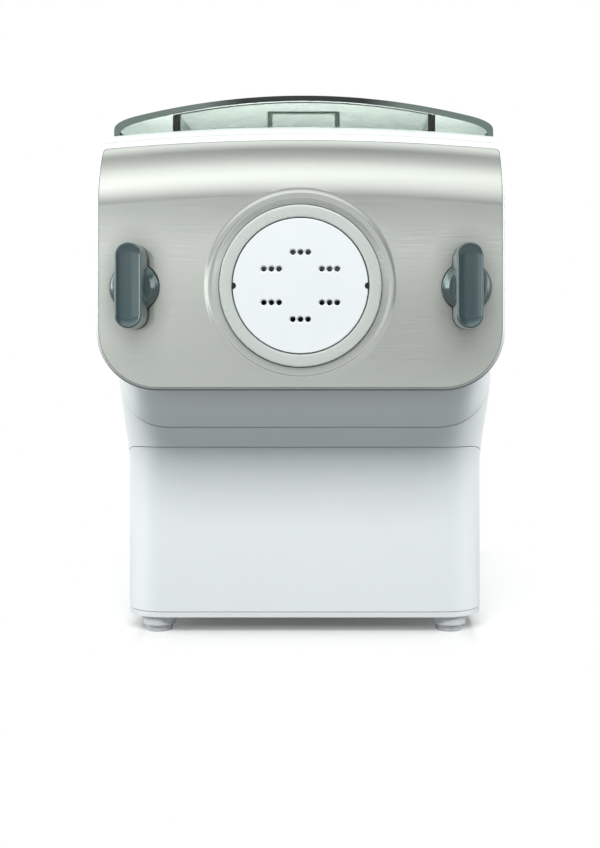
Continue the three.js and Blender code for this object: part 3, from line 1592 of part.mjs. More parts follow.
function extruderGroup() {
  const discPlace = new THREE.Vector3(0, discRearY, 0);
  return gathered(
    onAxis,
    gathered(discPlace, namedMesh('shaping_disc', shapingDiscSolid(), discWhite, 0.4)),
    namedMesh('extrusion_tube', extrusionTubeSolid(), clearGrey, 0.3),
    namedMesh('shaft_seal', shaftSealSolid(), sealGrey, 0.8),
    namedMesh('output_bearing', outputBearingSolid(), steel, 0.3, 1),
  );
}

function mixerGroup() {
  return gathered(
    onAxis,
    namedMesh('extrusion_screw', extrusionScrewSolid(), discWhite, 0.45),
    namedMesh('mixing_paddle', mixingPaddleSolid(), discWhite, 0.45),
    namedMesh('drive_shaft', driveShaftSolid(), steel, 0.3, 1),
    namedMesh('output_gear', outputGearSolid(), gearNylon, 0.5),
  );
}

function gearboxGroup() {
  const compoundPlace = new THREE.Vector3(0, 0, compoundZ);
  return gathered(
    origin,
    namedMesh('bulkhead', bulkheadSolid(), white, 0.5),
    namedMesh('gearbox_case', gearboxCaseSolid(), darkPlastic, 0.5),
    gathered(
      compoundPlace,
      namedMesh('compound_gear', compoundGearSolid(), gearNylon, 0.5),
      namedMesh('compound_axle', compoundAxleSolid(), steel, 0.3, 1),
    ),
  );
}

function motorGroup() {
  return gathered(
    new THREE.Vector3(0, 0, motorZ),
    namedMesh('motor_can', motorCanSolid(), steel, 0.45, 0.8),
    namedMesh('motor_stator', statorSolid(), copper, 0.5, 0.6),
    namedMesh('motor_end_cap', motorEndCapSolid(), darkPlastic, 0.5),
    namedMesh('motor_rotor', rotorSolid(), steel, 0.35, 1),
    namedMesh('motor_pinion', motorPinionSolid(), steel, 0.35, 1),
    namedMesh('cooling_fan', coolingFanSolid(), darkPlastic, 0.5),
  );
}

function housingGroup() {
  return gathered(
    origin,
    namedMesh('upper_housing', upperHousingSolid(), white, 0.4),
    namedMesh('lower_base', lowerBaseSolid(), white, 0.4),
    namedMesh('base_plate', basePlateSolid(), white, 0.5),
    namedMesh('rear_cover', rearCoverSolid(), white, 0.45),
    namedMesh('motor_mount', motorMountSolid(), darkPlastic, 0.5),
    namedMesh('circuit_board', circuitBoardSolid(), boardGreen, 0.6),
    namedMesh('mixing_chamber', mixingChamberSolid(), clearGrey, 0.15, 0, 0.5),
    namedMesh('power_inlet', powerInletSolid(), darkPlastic, 0.5),
  );
}

function controlsGroup() {
  const rocker = namedMesh('power_switch', powerSwitchSolid(), darkPlastic, 0.4);
  rocker.rotation.x = switchTilt;
  const buttonNames = ['start_button', 'portion_button', 'timer_button', 'clean_button'];
  const buttons = buttonPlaces().map(([y, z], index) => gathered(
    new THREE.Vector3(0, y, z),
    namedMesh(buttonNames[index], buttonSolid(), clearGrey, 0.4),
  ));
  return gathered(
    origin,
    namedMesh('control_panel', controlPanelSolid(), slate, 0.4),
    namedMesh('display_window', displayWindowSolid(), darkPlastic, 0.1),
    ...buttons,
    gathered(new THREE.Vector3(inletX, switchPivotY, switchZ), rocker),
  );
}

function lidGroup() {
  return gathered(
    origin,
    namedMesh('lid', lidSolid(), smoke, 0.12, 0, 0.45),
    namedMesh('lid_frame', lidFrameSolid(), smoke, 0.3, 0, 0.6),
    namedMesh('lid_catch', lidCatchSolid(), smoke, 0.3, 0, 0.8),
    gathered(
      new THREE.Vector3(0, hingeAxisY, hingeAxisZ),
      namedMesh('lid_hinge_pin', hingePinSolid(), steel, 0.3, 1),
    ),
  );
}

function drawerGroup() {
  const floorZ = basePlateTopZ + drawerTrayWall + seatGap * 2;
  const frontDiscY = drawerRearOfFrontY + drawerTrayWall + discRadius + seatGap;
  const rearDiscY = frontDiscY + discRadius * 2 + seatGap;
  const discs = [
    [frontDiscY, lasagneSlots, 'spare_disc_lasagne'],
    [rearDiscY, tagliatelleSlots, 'spare_disc_tagliatelle'],
  ];
  return gathered(
    origin,
    namedMesh('drawer_front', drawerFrontSolid(), white, 0.4),
    namedMesh('drawer_tray', drawerTraySolid(), clearGrey, 0.5),
    ...discs.map(([y, slotCount, name]) => gathered(
      new THREE.Vector3(0, y, floorZ),
      namedMesh(name, spareDiscSolid(slotCount), discWhite, 0.5),
    )),
  );
}

function feetGroup() {
  const frontFootY = bodyFrontY + footFrontSetback;
  const rearFootY = baseRearY - footRearInset;
  const feet = [
    ['foot_front_left', -footX, frontFootY],
    ['foot_front_right', footX, frontFootY],
    ['foot_rear_left', -footX, rearFootY],
    ['foot_rear_right', footX, rearFootY],
  ];
  return gathered(origin, ...feet.map(([name, x, y]) => gathered(
    new THREE.Vector3(x, y, 0),
    namedMesh(name, footSolid(), rubberWhite, 0.7),
  )));
}

function screwsGroup() {
  return gathered(origin, ...screwPostPlaces().map(([x, y], index) => gathered(
    new THREE.Vector3(x, y, 0),
    namedMesh(`base_screw_${index + 1}`, baseScrewSolid(), steel, 0.4, 1),
  )));
}

export default gathered(
  origin,
  frontPanelGroup(),
  lockKnobGroup('left', -1),
  lockKnobGroup('right', 1),
  extruderGroup(),
  mixerGroup(),
  gearboxGroup(),
  motorGroup(),
  housingGroup(),
  controlsGroup(),
  lidGroup(),
  drawerGroup(),
  feetGroup(),
  screwsGroup(),
);
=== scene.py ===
"""An electric pasta maker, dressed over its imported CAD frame.

Sizes are millimetres, as on a drawing, and turn into metres where a mesh leaves the workshop.
+Z is up and the front panel faces -Y.
"""

from __future__ import annotations

import json
import logging
import math
from collections.abc import Mapping, Sequence
from dataclasses import dataclass
from enum import Enum

import bmesh
import bpy
from mathutils import Matrix, Vector

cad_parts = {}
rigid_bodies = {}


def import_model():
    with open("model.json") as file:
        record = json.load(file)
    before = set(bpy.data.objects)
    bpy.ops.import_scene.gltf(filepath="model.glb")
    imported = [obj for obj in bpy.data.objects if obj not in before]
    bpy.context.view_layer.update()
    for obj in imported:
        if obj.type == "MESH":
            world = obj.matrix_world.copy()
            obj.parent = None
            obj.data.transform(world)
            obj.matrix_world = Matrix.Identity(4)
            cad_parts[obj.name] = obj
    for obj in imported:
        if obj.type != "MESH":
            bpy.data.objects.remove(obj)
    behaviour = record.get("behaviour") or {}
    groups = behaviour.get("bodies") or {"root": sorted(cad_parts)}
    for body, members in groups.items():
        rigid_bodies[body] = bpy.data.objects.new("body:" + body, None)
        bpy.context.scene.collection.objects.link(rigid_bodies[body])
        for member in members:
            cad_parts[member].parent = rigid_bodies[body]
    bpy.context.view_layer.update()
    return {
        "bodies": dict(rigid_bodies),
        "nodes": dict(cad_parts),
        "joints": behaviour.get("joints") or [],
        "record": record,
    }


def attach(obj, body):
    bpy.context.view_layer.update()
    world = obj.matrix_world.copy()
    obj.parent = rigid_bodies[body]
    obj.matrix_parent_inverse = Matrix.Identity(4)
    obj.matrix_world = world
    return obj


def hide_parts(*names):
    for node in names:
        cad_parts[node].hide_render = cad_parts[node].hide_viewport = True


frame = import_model()

log = logging.getLogger("pasta_maker")

MM = 0.001
QUARTER = math.pi / 2
TURN = math.tau
SAME_POINT = 1e-5
ON_AXIS = 1e-6

Point = tuple[float, float]
Place = tuple[float, float, float]
Colour = tuple[float, float, float]


def mix(low: float, high: float, share: float) -> float:
    """Returns the value a share of the way from low to high."""
    return low + (high - low) * share


def eased(share: float) -> float:
    """Returns the share eased at both ends, and held between 0 and 1."""
    held = min(max(share, 0.0), 1.0)
    return held * held * (3 - 2 * held)


# Shader language


class Signal:
    """A shader socket that takes part in arithmetic: each operator adds its Math node."""

    def __init__(self, graph: Graph, socket: bpy.types.NodeSocket) -> None:
        """Wraps a socket of the graph."""
        self.graph = graph
        self.socket = socket

    def _with(self, operation: str, *values: Signal | float) -> Signal:
        """Returns a Math node of the operation on these values, in order."""
        return self.graph.node("ShaderNodeMath", {"operation": operation}, dict(enumerate(values)))

    def __add__(self, other: Signal | float) -> Signal:
        """Returns self + other."""
        return self._with("ADD", self, other)

    def __radd__(self, other: float) -> Signal:
        """Returns other + self."""
        return self._with("ADD", other, self)

    def __sub__(self, other: Signal | float) -> Signal:
        """Returns self - other."""
        return self._with("SUBTRACT", self, other)

    def __rsub__(self, other: float) -> Signal:
        """Returns other - self."""
        return self._with("SUBTRACT", other, self)

    def __mul__(self, other: Signal | float) -> Signal:
        """Returns self * other."""
        return self._with("MULTIPLY", self, other)

    def __rmul__(self, other: float) -> Signal:
        """Returns other * self."""
        return self._with("MULTIPLY", other, self)

    def __gt__(self, other: Signal | float) -> Signal:
        """Returns 1 where self is greater than other, else 0."""
        return self._with("GREATER_THAN", self, other)

    def held(self) -> Signal:
        """Returns self held between 0 and 1."""
        return self.graph.node("ShaderNodeClamp", {}, {"Value": self})

    def waved(self) -> Signal:
        """Returns the sine of self."""
        return self._with("SINE", self)


Value = Signal | float | Sequence[float]


class Graph:
    """The node tree of one material or of the world."""

    def __init__(self, tree: bpy.types.NodeTree) -> None:
        """Empties the tree so that every node in it is made here."""
        self.tree = tree
        tree.nodes.clear()

    def node(
        self,
        kind: str,
        settings: Mapping[str, object],
        inputs: Mapping[str | int, Value],
        output: str | int = 0,
    ) -> Signal:
        """Adds a node.

        Args:
            kind: The node's type.
            settings: Its properties, set first; "stops" are a ramp's places and colours.
            inputs: Values or signals for its sockets, by name or number.
            output: The socket that the signal stands for.

        Returns:
            The signal of that output.
        """
        node = self.tree.nodes.new(kind)
        for name, setting in settings.items():
            if name == "stops":
                self._set_stops(node, setting)
            else:
                setattr(node, name, setting)
        for name, value in inputs.items():
            self.feed(node.inputs[name], value)
        return Signal(self, node.outputs[output]) if node.outputs else Signal(self, None)

    @staticmethod
    def _set_stops(node: bpy.types.Node, stops: Sequence[tuple[float, Colour]]) -> None:
        """Gives a colour ramp exactly these stops.

        Args:
            node: The ramp.
            stops: Places from 0 to 1, each with its colour.
        """
        elements = node.color_ramp.elements
        while len(elements) < len(stops):
            elements.new(1.0)
        for element, (place, colour) in zip(elements, stops):
            element.position = place
            element.color = (*colour, 1.0)

    def feed(self, socket: bpy.types.NodeSocket, value: Value) -> None:
        """Links a signal to a socket, or sets a plain value on it.

        Args:
            socket: The socket to fill.
            value: A signal to link, or a plain value.
        """
        if isinstance(value, Signal):
            self.tree.links.new(value.socket, socket)
        elif isinstance(value, Sequence) and len(value) == 3 and socket.type == "RGBA":
            socket.default_value = (*value, 1.0)
        else:
            socket.default_value = value

    def position(self) -> Signal:
        """Returns the point on the surface in the machine's own metres."""
        return self.node("ShaderNodeTexCoord", {}, {}, "Object")

    def parts(self, vector: Signal) -> tuple[Signal, Signal, Signal]:
        """Splits a vector into its x, y and z.

        Args:
            vector: The vector to split.

        Returns:
            The three signals.
        """
        split = self.node("ShaderNodeSeparateXYZ", {}, {"Vector": vector})
        outputs = split.socket.node.outputs
        return Signal(self, outputs[0]), Signal(self, outputs[1]), Signal(self, outputs[2])

    def vector(self, operation: str, *values: Signal | Place) -> Signal:
        """Returns a Vector Math node of the operation on these vectors, in order."""
        return self.node("ShaderNodeVectorMath", {"operation": operation}, dict(enumerate(values)))

    def stretched(self, vector: Signal, scale: Place) -> Signal:
        """Returns the vector times a scale along each axis."""
        return self.vector("MULTIPLY", vector, scale)

    def noise(self, vector: Signal, scale: float, detail: float = 2.0) -> Signal:
        """Returns a soft noise from about 0 to 1 at that scale per metre."""
        return self.node("ShaderNodeTexNoise", {}, {"Vector": vector, "Scale": scale, "Detail": detail})

    def openness(self, reach: float) -> Signal:
        """Returns 1 where the surface lies open, and less where parts stand within a reach in metres."""
        return self.node("ShaderNodeAmbientOcclusion", {"samples": 4}, {"Distance": reach}, "AO")

    def downward(self) -> Signal:
        """Returns 0 where the surface is upright or looks up, and 1 where it looks well down."""
        _, _, up = self.parts(self.node("ShaderNodeNewGeometry", {}, {}, "Normal"))
        return (up * -1.6).held()

    def blended(self, share: Value, low: Value, high: Value) -> Signal:
        """Returns the colour a share of the way from low to high."""
        settings = {"data_type": "RGBA", "clamp_factor": True}
        return self.node("ShaderNodeMix", settings, {0: share, 6: low, 7: high}, 2)

    def bumped(self, height: Signal, distance: float, strength: float = 1.0) -> Signal:
        """Returns the normal of a surface raised by the height times a distance in metres."""
        return self.node("ShaderNodeBump", {}, {"Strength": strength, "Distance": distance, "Height": height})


# Finishes


def tinted(colour: Colour, share: float) -> Colour:
    """Returns the colour made lighter or darker by a share."""
    return tuple(min(channel * (1 + share), 1.0) for channel in colour)


def from_hex(code: str) -> Colour:
    """Returns the linear colour of a six-figure screen colour."""
    channels = [int(code[place:place + 2], 16) / 255 for place in (0, 2, 4)]
    return tuple(c / 12.92 if c <= 0.04045 else ((c + 0.055) / 1.055) ** 2.4 for c in channels)


@dataclass(frozen=True)
class Finish:
    """A surface finish: a name, a colour and how rough it is.

    Where reach is given, the colour is darkened by a set share as painted shade where parts stand within that
    many metres. Where underside is given, faces that look down get painted shade as well.
    """

    name: str
    colour: Colour
    roughness: float
    # Painted shade: how near other parts must stand, how far the colour darkens there, and how far faces that
    # look down darken.
    reach: float = 0.0
    painted_shade_depth: float = 0.6
    underside: float = 0.0

    def surface(self, graph: Graph) -> dict[str, Value]:
        """Returns the shader's sockets, by name, for this finish."""
        return {"Base Color": self.colour, "Roughness": self.roughness}

    def painted_shade(self, graph: Graph, colour: Signal) -> Signal:
        """Paints shade into a colour where the surface looks down or where other parts stand close to it.

        Args:
            graph: The node tree.
            colour: The colour in the open.

        Returns:
            The colour with its painted shade.
        """
        if self.underside:
            colour = graph.blended(graph.downward(), colour, tinted(self.colour, -self.underside))
        if self.reach:
            colour = graph.blended(graph.openness(self.reach), tinted(self.colour, -self.painted_shade_depth), colour)
        return colour

    def volume(self, graph: Graph) -> dict[str, Value]:
        """Returns the volume's socket for a finish that light goes through, else nothing."""
        return {}

    def material(self) -> bpy.types.Material:
        """Makes the finish's material, or finds it where it is made already.

        Returns:
            The material.
        """
        known = bpy.data.materials.get(self.name)
        if known:
            return known
        material = bpy.data.materials.new(self.name)
        material.use_nodes = True
        graph = Graph(material.node_tree)
        shader = graph.node("ShaderNodeBsdfPrincipled", {}, self.surface(graph))
        graph.node("ShaderNodeOutputMaterial", {}, {"Surface": shader, **self.volume(graph)})
        material.diffuse_color = (*self.colour, 1.0)
        return material


@dataclass(frozen=True)
class Moulded(Finish):
    """Moulded plastic: faint flow marks in the colour, and a fine spark-eroded grain."""

    grain: float = 2600.0
    grain_height: float = 0.00001
    flow: float = 22.0
    mottle: float = 0.02
    smudge: float = 60.0
    smear: float = 0.12
    coat: float = 0.0
    metal: float = 0.0

    def surface(self, graph: Graph) -> dict[str, Value]:
        """Works out what the shader's sockets get.

        Args:
            graph: The node tree.

        Returns:
            Signals and values by socket.
        """
        place = graph.position()
        flow = graph.noise(place, self.flow, 3.0)
        grain = graph.noise(place, self.grain, 1.0)
        smudge = graph.noise(place, self.smudge, 4.0)
        flowing = graph.blended(flow, tinted(self.colour, -self.mottle), tinted(self.colour, self.mottle))
        return {
            # painted shade near other parts and on faces that look down, where the finish gives reach or
            # underside
            "Base Color": self.painted_shade(graph, flowing),
            "Roughness": (smudge - 0.5) * self.smear + self.roughness,
            "Metallic": self.metal,
            "Normal": graph.bumped(grain, self.grain_height),
            "Coat Weight": self.coat,
            "Coat Roughness": 0.08,
            "IOR": 1.49,
        }


@dataclass(frozen=True)
class Rimmed(Moulded):
    """Smoked plastic seen on its edge, drawn as an opaque colour; painted shade darkens it towards the middle
    of the arch, standing in for the dark seen through the edge.
    """

    # the painted shade's colour at the middle of the arch, how wide it holds, and how fast it falls off
    painted_shade_colour: Colour = (0.0, 0.0, 0.0)
    spread: float = 1.6
    fall: float = 520.0

    def surface(self, graph: Graph) -> dict[str, Value]:
        """Works out what the shader's sockets get.

        Args:
            graph: The node tree.

        Returns:
            Signals and values by socket.
        """
        sockets = super().surface(graph)
        across, _, _ = graph.parts(graph.position())
        # painted shade: darkest at the middle of the arch, fading towards the ends
        middle = (self.spread - across * across * self.fall).held()
        return {**sockets, "Base Color": graph.blended(middle, sockets["Base Color"], self.painted_shade_colour)}


@dataclass(frozen=True)
class Brushed(Finish):
    """Metal with fine straight brushing."""

    run: Place = (14.0, 900.0, 900.0)
    cloud: float = 16.0
    metal: float = 1.0
    depth: float = 0.000012
    streak: float = 0.06

    def surface(self, graph: Graph) -> dict[str, Value]:
        """Works out what the shader's sockets get.

        Args:
            graph: The node tree.

        Returns:
            Signals and values by socket.
        """
        place = graph.position()
        lines = graph.noise(graph.stretched(place, self.run), 1.0, 4.0)
        fine = graph.noise(graph.stretched(place, tuple(3 * axis for axis in self.run)), 1.0, 2.0)
        cloud = graph.noise(place, self.cloud, 2.0)
        dark, light = tinted(self.colour, -self.streak), tinted(self.colour, self.streak)
        return {
            # painted shade where other parts stand close, such as round the knobs and by the collar
            "Base Color": self.painted_shade(graph, graph.blended(lines * 0.7 + cloud * 0.3, dark, light)),
            "Roughness": (fine - 0.5) * 0.22 + (cloud - 0.5) * 0.06 + self.roughness,
            "Metallic": self.metal,
            "Normal": graph.bumped(lines, self.depth, 0.6),
        }


@dataclass(frozen=True)
class Clear(Finish):
    """See-through plastic with the faint waves of its mould.

    Its mass is tinted by density, and its surface turns from its colour to a paler one between two heights.
    """

    through: float = 1.0
    wave_height: float = 0.00002
    mass: Colour = (0.4, 0.5, 0.44)
    density: float = 0.0
    pale: Colour | None = None
    fade: tuple[float, float] = (0.284, 0.297)
    wave: float = 45.0
    rub: float = 180.0

    def surface(self, graph: Graph) -> dict[str, Value]:
        """Works out what the shader's sockets get.

        Args:
            graph: The node tree.

        Returns:
            Signals and values by socket.
        """
        place = graph.position()
        waves = graph.noise(place, self.wave, 1.0)
        rub = graph.noise(place, self.rub, 4.0)
        low, high = self.fade
        height = (graph.parts(place)[2] - low) * (1 / (high - low))
        tint = graph.blended(height, self.colour, self.pale or self.colour)
        return {
            "Base Color": graph.blended(waves * 0.1, tint, (1.0, 1.0, 1.0)),
            "Roughness": (rub - 0.5) * 0.08 + self.roughness,
            "Normal": graph.bumped(waves, self.wave_height),
            "Transmission Weight": self.through,
            "IOR": 1.46,
        }

    def volume(self, graph: Graph) -> dict[str, Value]:
        """Works out the plastic's own tint, which deepens with the way that light goes in it.

        Args:
            graph: The node tree.

        Returns:
            Signals and values by socket.
        """
        if not self.density:
            return {}
        tint = {"Color": self.mass, "Density": self.density}
        return {"Volume": graph.node("ShaderNodeVolumeAbsorption", {}, tint)}


@dataclass(frozen=True)
class Milky(Finish):
    """Soft milky rubber that light sinks into."""

    grain: float = 1500.0
    dust: float = 90.0

    def surface(self, graph: Graph) -> dict[str, Value]:
        """Works out what the shader's sockets get.

        Args:
            graph: The node tree.

        Returns:
            Signals and values by socket.
        """
        place = graph.position()
        grain = graph.noise(place, self.grain, 2.0)
        dust = graph.noise(place, self.dust, 3.0)
        return {
            "Base Color": graph.blended(dust, tinted(self.colour, -0.06), tinted(self.colour, 0.04)),
            "Roughness": (dust - 0.5) * 0.2 + self.roughness,
            "Normal": graph.bumped(grain, 0.00002),
            "Subsurface Weight": 0.35,
            "Subsurface Radius": (0.004, 0.004, 0.004),
            "Subsurface Scale": 1.0,
            "Transmission Weight": 0.25,
        }


@dataclass(frozen=True)
class Wound(Finish):
    """Enamelled copper wire laid in turns along the motor's axis."""

    turns: float = 5200.0
    wander: float = 120.0

    def surface(self, graph: Graph) -> dict[str, Value]:
        """Works out what the shader's sockets get.

        Args:
            graph: The node tree.

        Returns:
            Signals and values by socket.
        """
        place = graph.position()
        _, along, _ = graph.parts(place)
        strand = (along * self.turns + graph.noise(place, self.wander) * 3.0).waved() * 0.5 + 0.5
        return {
            "Base Color": graph.blended(strand, tinted(self.colour, -0.45), self.colour),
            "Roughness": strand * -0.15 + self.roughness,
            "Metallic": 0.85,
            "Normal": graph.bumped(strand, 0.0001),
        }


@dataclass(frozen=True)
class Board(Finish):
    """A circuit board: solder mask over fine copper tracks."""

    track: float = 260.0

    def surface(self, graph: Graph) -> dict[str, Value]:
        """Works out what the shader's sockets get.

        Args:
            graph: The node tree.

        Returns:
            Signals and values by socket.
        """
        place = graph.position()
        cells = graph.node(
            "ShaderNodeTexVoronoi",
            {"distance": "MANHATTAN", "feature": "F1"},
            {"Vector": place, "Scale": self.track, "Randomness": 0.4},
        )
        track = (cells > 0.62).held()
        return {
            "Base Color": graph.blended(track, self.colour, tinted(self.colour, 0.8)),
            "Roughness": track * 0.1 + self.roughness,
            "Normal": graph.bumped(track, 0.00004),
        }


class Finishes:
    """Every finish on the machine, named for what it is."""

    # Painted shade: the casing darkens in its seams and beside other parts, the bezel beside other parts and
    # where it looks down, the skin round the knobs and the collar.
    casing = Moulded("white_casing", from_hex("EEF1F1"), 0.34, reach=0.014, painted_shade_depth=0.5)
    bezel = Moulded("white_bezel", from_hex("EEF0F0"), 0.3, reach=0.01, underside=0.8)
    inner_white = Moulded("matt_white_inside", from_hex("E4E7E7"), 0.5)
    skin = Brushed("silver_skin", from_hex("DCE1DA"), 0.13, metal=0.8, depth=0.000003, streak=0.03,
                   reach=0.013, painted_shade_depth=0.9)
    collar = Moulded("silver_grey_collar", from_hex("D3D8D3"), 0.28, coat=0.15, metal=0.2, mottle=0.01)
    disc = Moulded("food_white", from_hex("F2F5F6"), 0.36)
    slate = Moulded("slate_grey", from_hex("475B5E"), 0.2, coat=1.0, metal=0.5, mottle=0.03)
    smoke = Clear("smoked_clear", from_hex("B0BAB5"), 0.05, pale=from_hex("E3E8E5"), density=13.0,
                  wave_height=0.000003)
    # a dark rim colour with painted shade at the middle of its arch
    smoke_rim = Rimmed("smoked_rim", from_hex("66736D"), 0.16, coat=1.0, painted_shade_colour=from_hex("1C2421"))
    smoke_frame = Clear("smoked_frame", from_hex("F1F5F2"), 0.08, density=60.0)
    smoke_catch = Clear("smoked_catch", from_hex("DDE6E1"), 0.06, density=900.0)
    clear = Clear("clear_grey", from_hex("DDE2E4"), 0.14, through=0.85)
    frost = Clear("frosted_clear", from_hex("DDE1E2"), 0.42, through=0.8)
    key = Moulded("key_grey", from_hex("C4CACC"), 0.38)
    dark = Moulded("dark_plastic", from_hex("26292C"), 0.42, mottle=0.06)
    window = Moulded("dark_glass", from_hex("101416"), 0.07, coat=0.6, grain_height=0.0)
    nylon = Moulded("natural_nylon", from_hex("E4DECB"), 0.45, mottle=0.03)
    # painted shade: a near-black colour for the seal in the gap round the disc
    painted_gap_shade = Moulded("gap_shade_dark", from_hex("17191A"), 0.5)
    seal = Moulded("silicone_grey", from_hex("8E969A"), 0.55)
    steel = Brushed("ground_steel", from_hex("B6BABD"), 0.3, run=(900.0, 14.0, 900.0))
    copper = Wound("copper_winding", from_hex("B86A3C"), 0.4)
    board = Board("circuit_green", from_hex("2C6A44"), 0.4)
    milky = Milky("milky_rubber", from_hex("F2F4F4"), 0.5)
    glow = Moulded("display_glow", from_hex("8FD8D2"), 0.4)


# Workshop


class Axis(Enum):
    """The direction in which a flat outline gets its depth."""

    X = (1, 2, 0)
    Y = (0, 2, 1)
    Z = (0, 1, 2)

    def place(self, across: float, up: float, along: float) -> Place:
        """Works out the machine's point for a point on the drawing, at a depth.

        Args:
            across: Place across the drawing.
            up: Place up the drawing.
            along: Depth along the axis.

        Returns:
            The point's x, y and z.
        """
        point = [0.0, 0.0, 0.0]
        for index, value in zip(self.value, (across, up, along)):
            point[index] = value
        return tuple(point)


class Pen:
    """Draws a closed flat outline from lines, arcs and curves."""

    def __init__(self, steps: int = 12) -> None:
        """Starts an empty outline whose arcs and curves take this many steps."""
        self.steps = steps
        self.points: list[Point] = []

    def line(self, across: float, up: float) -> Pen:
        """Draws a straight line to a point.

        Args:
            across: The end's place across.
            up: The end's place up.

        Returns:
            The pen.
        """
        if not self.points or math.dist(self.points[-1], (across, up)) > SAME_POINT:
            self.points.append((across, up))
        return self

    def arc(self, centre: Point, radius: float, start: float, end: float) -> Pen:
        """Draws an arc between two angles.

        Args:
            centre: Its centre.
            radius: Its radius.
            start: Its first angle.
            end: Its last angle.

        Returns:
            The pen.
        """
        for step in range(self.steps + 1):
            angle = mix(start, end, step / self.steps)
            self.line(centre[0] + radius * math.cos(angle), centre[1] + radius * math.sin(angle))
        return self

    def curve(self, control: Point, end: Point, finer: int = 1) -> Pen:
        """Draws a curve pulled towards a control point.

        Args:
            control: The point that pulls it.
            end: Where it ends.
            finer: How many times finer than an arc it is.

        Returns:
            The pen.
        """
        first, steps = self.points[-1], self.steps * finer
        for step in range(1, steps + 1):
            t = step / steps
            weights = ((1 - t) ** 2, 2 * t * (1 - t), t * t)
            self.line(*(sum(w * p[i] for w, p in zip(weights, (first, control, end))) for i in (0, 1)))
        return self

    def closed(self) -> list[Point]:
        """Returns the outline's points, without a doubled last point."""
        doubled = math.dist(self.points[0], self.points[-1]) < SAME_POINT
        return self.points[:-1] if doubled else self.points


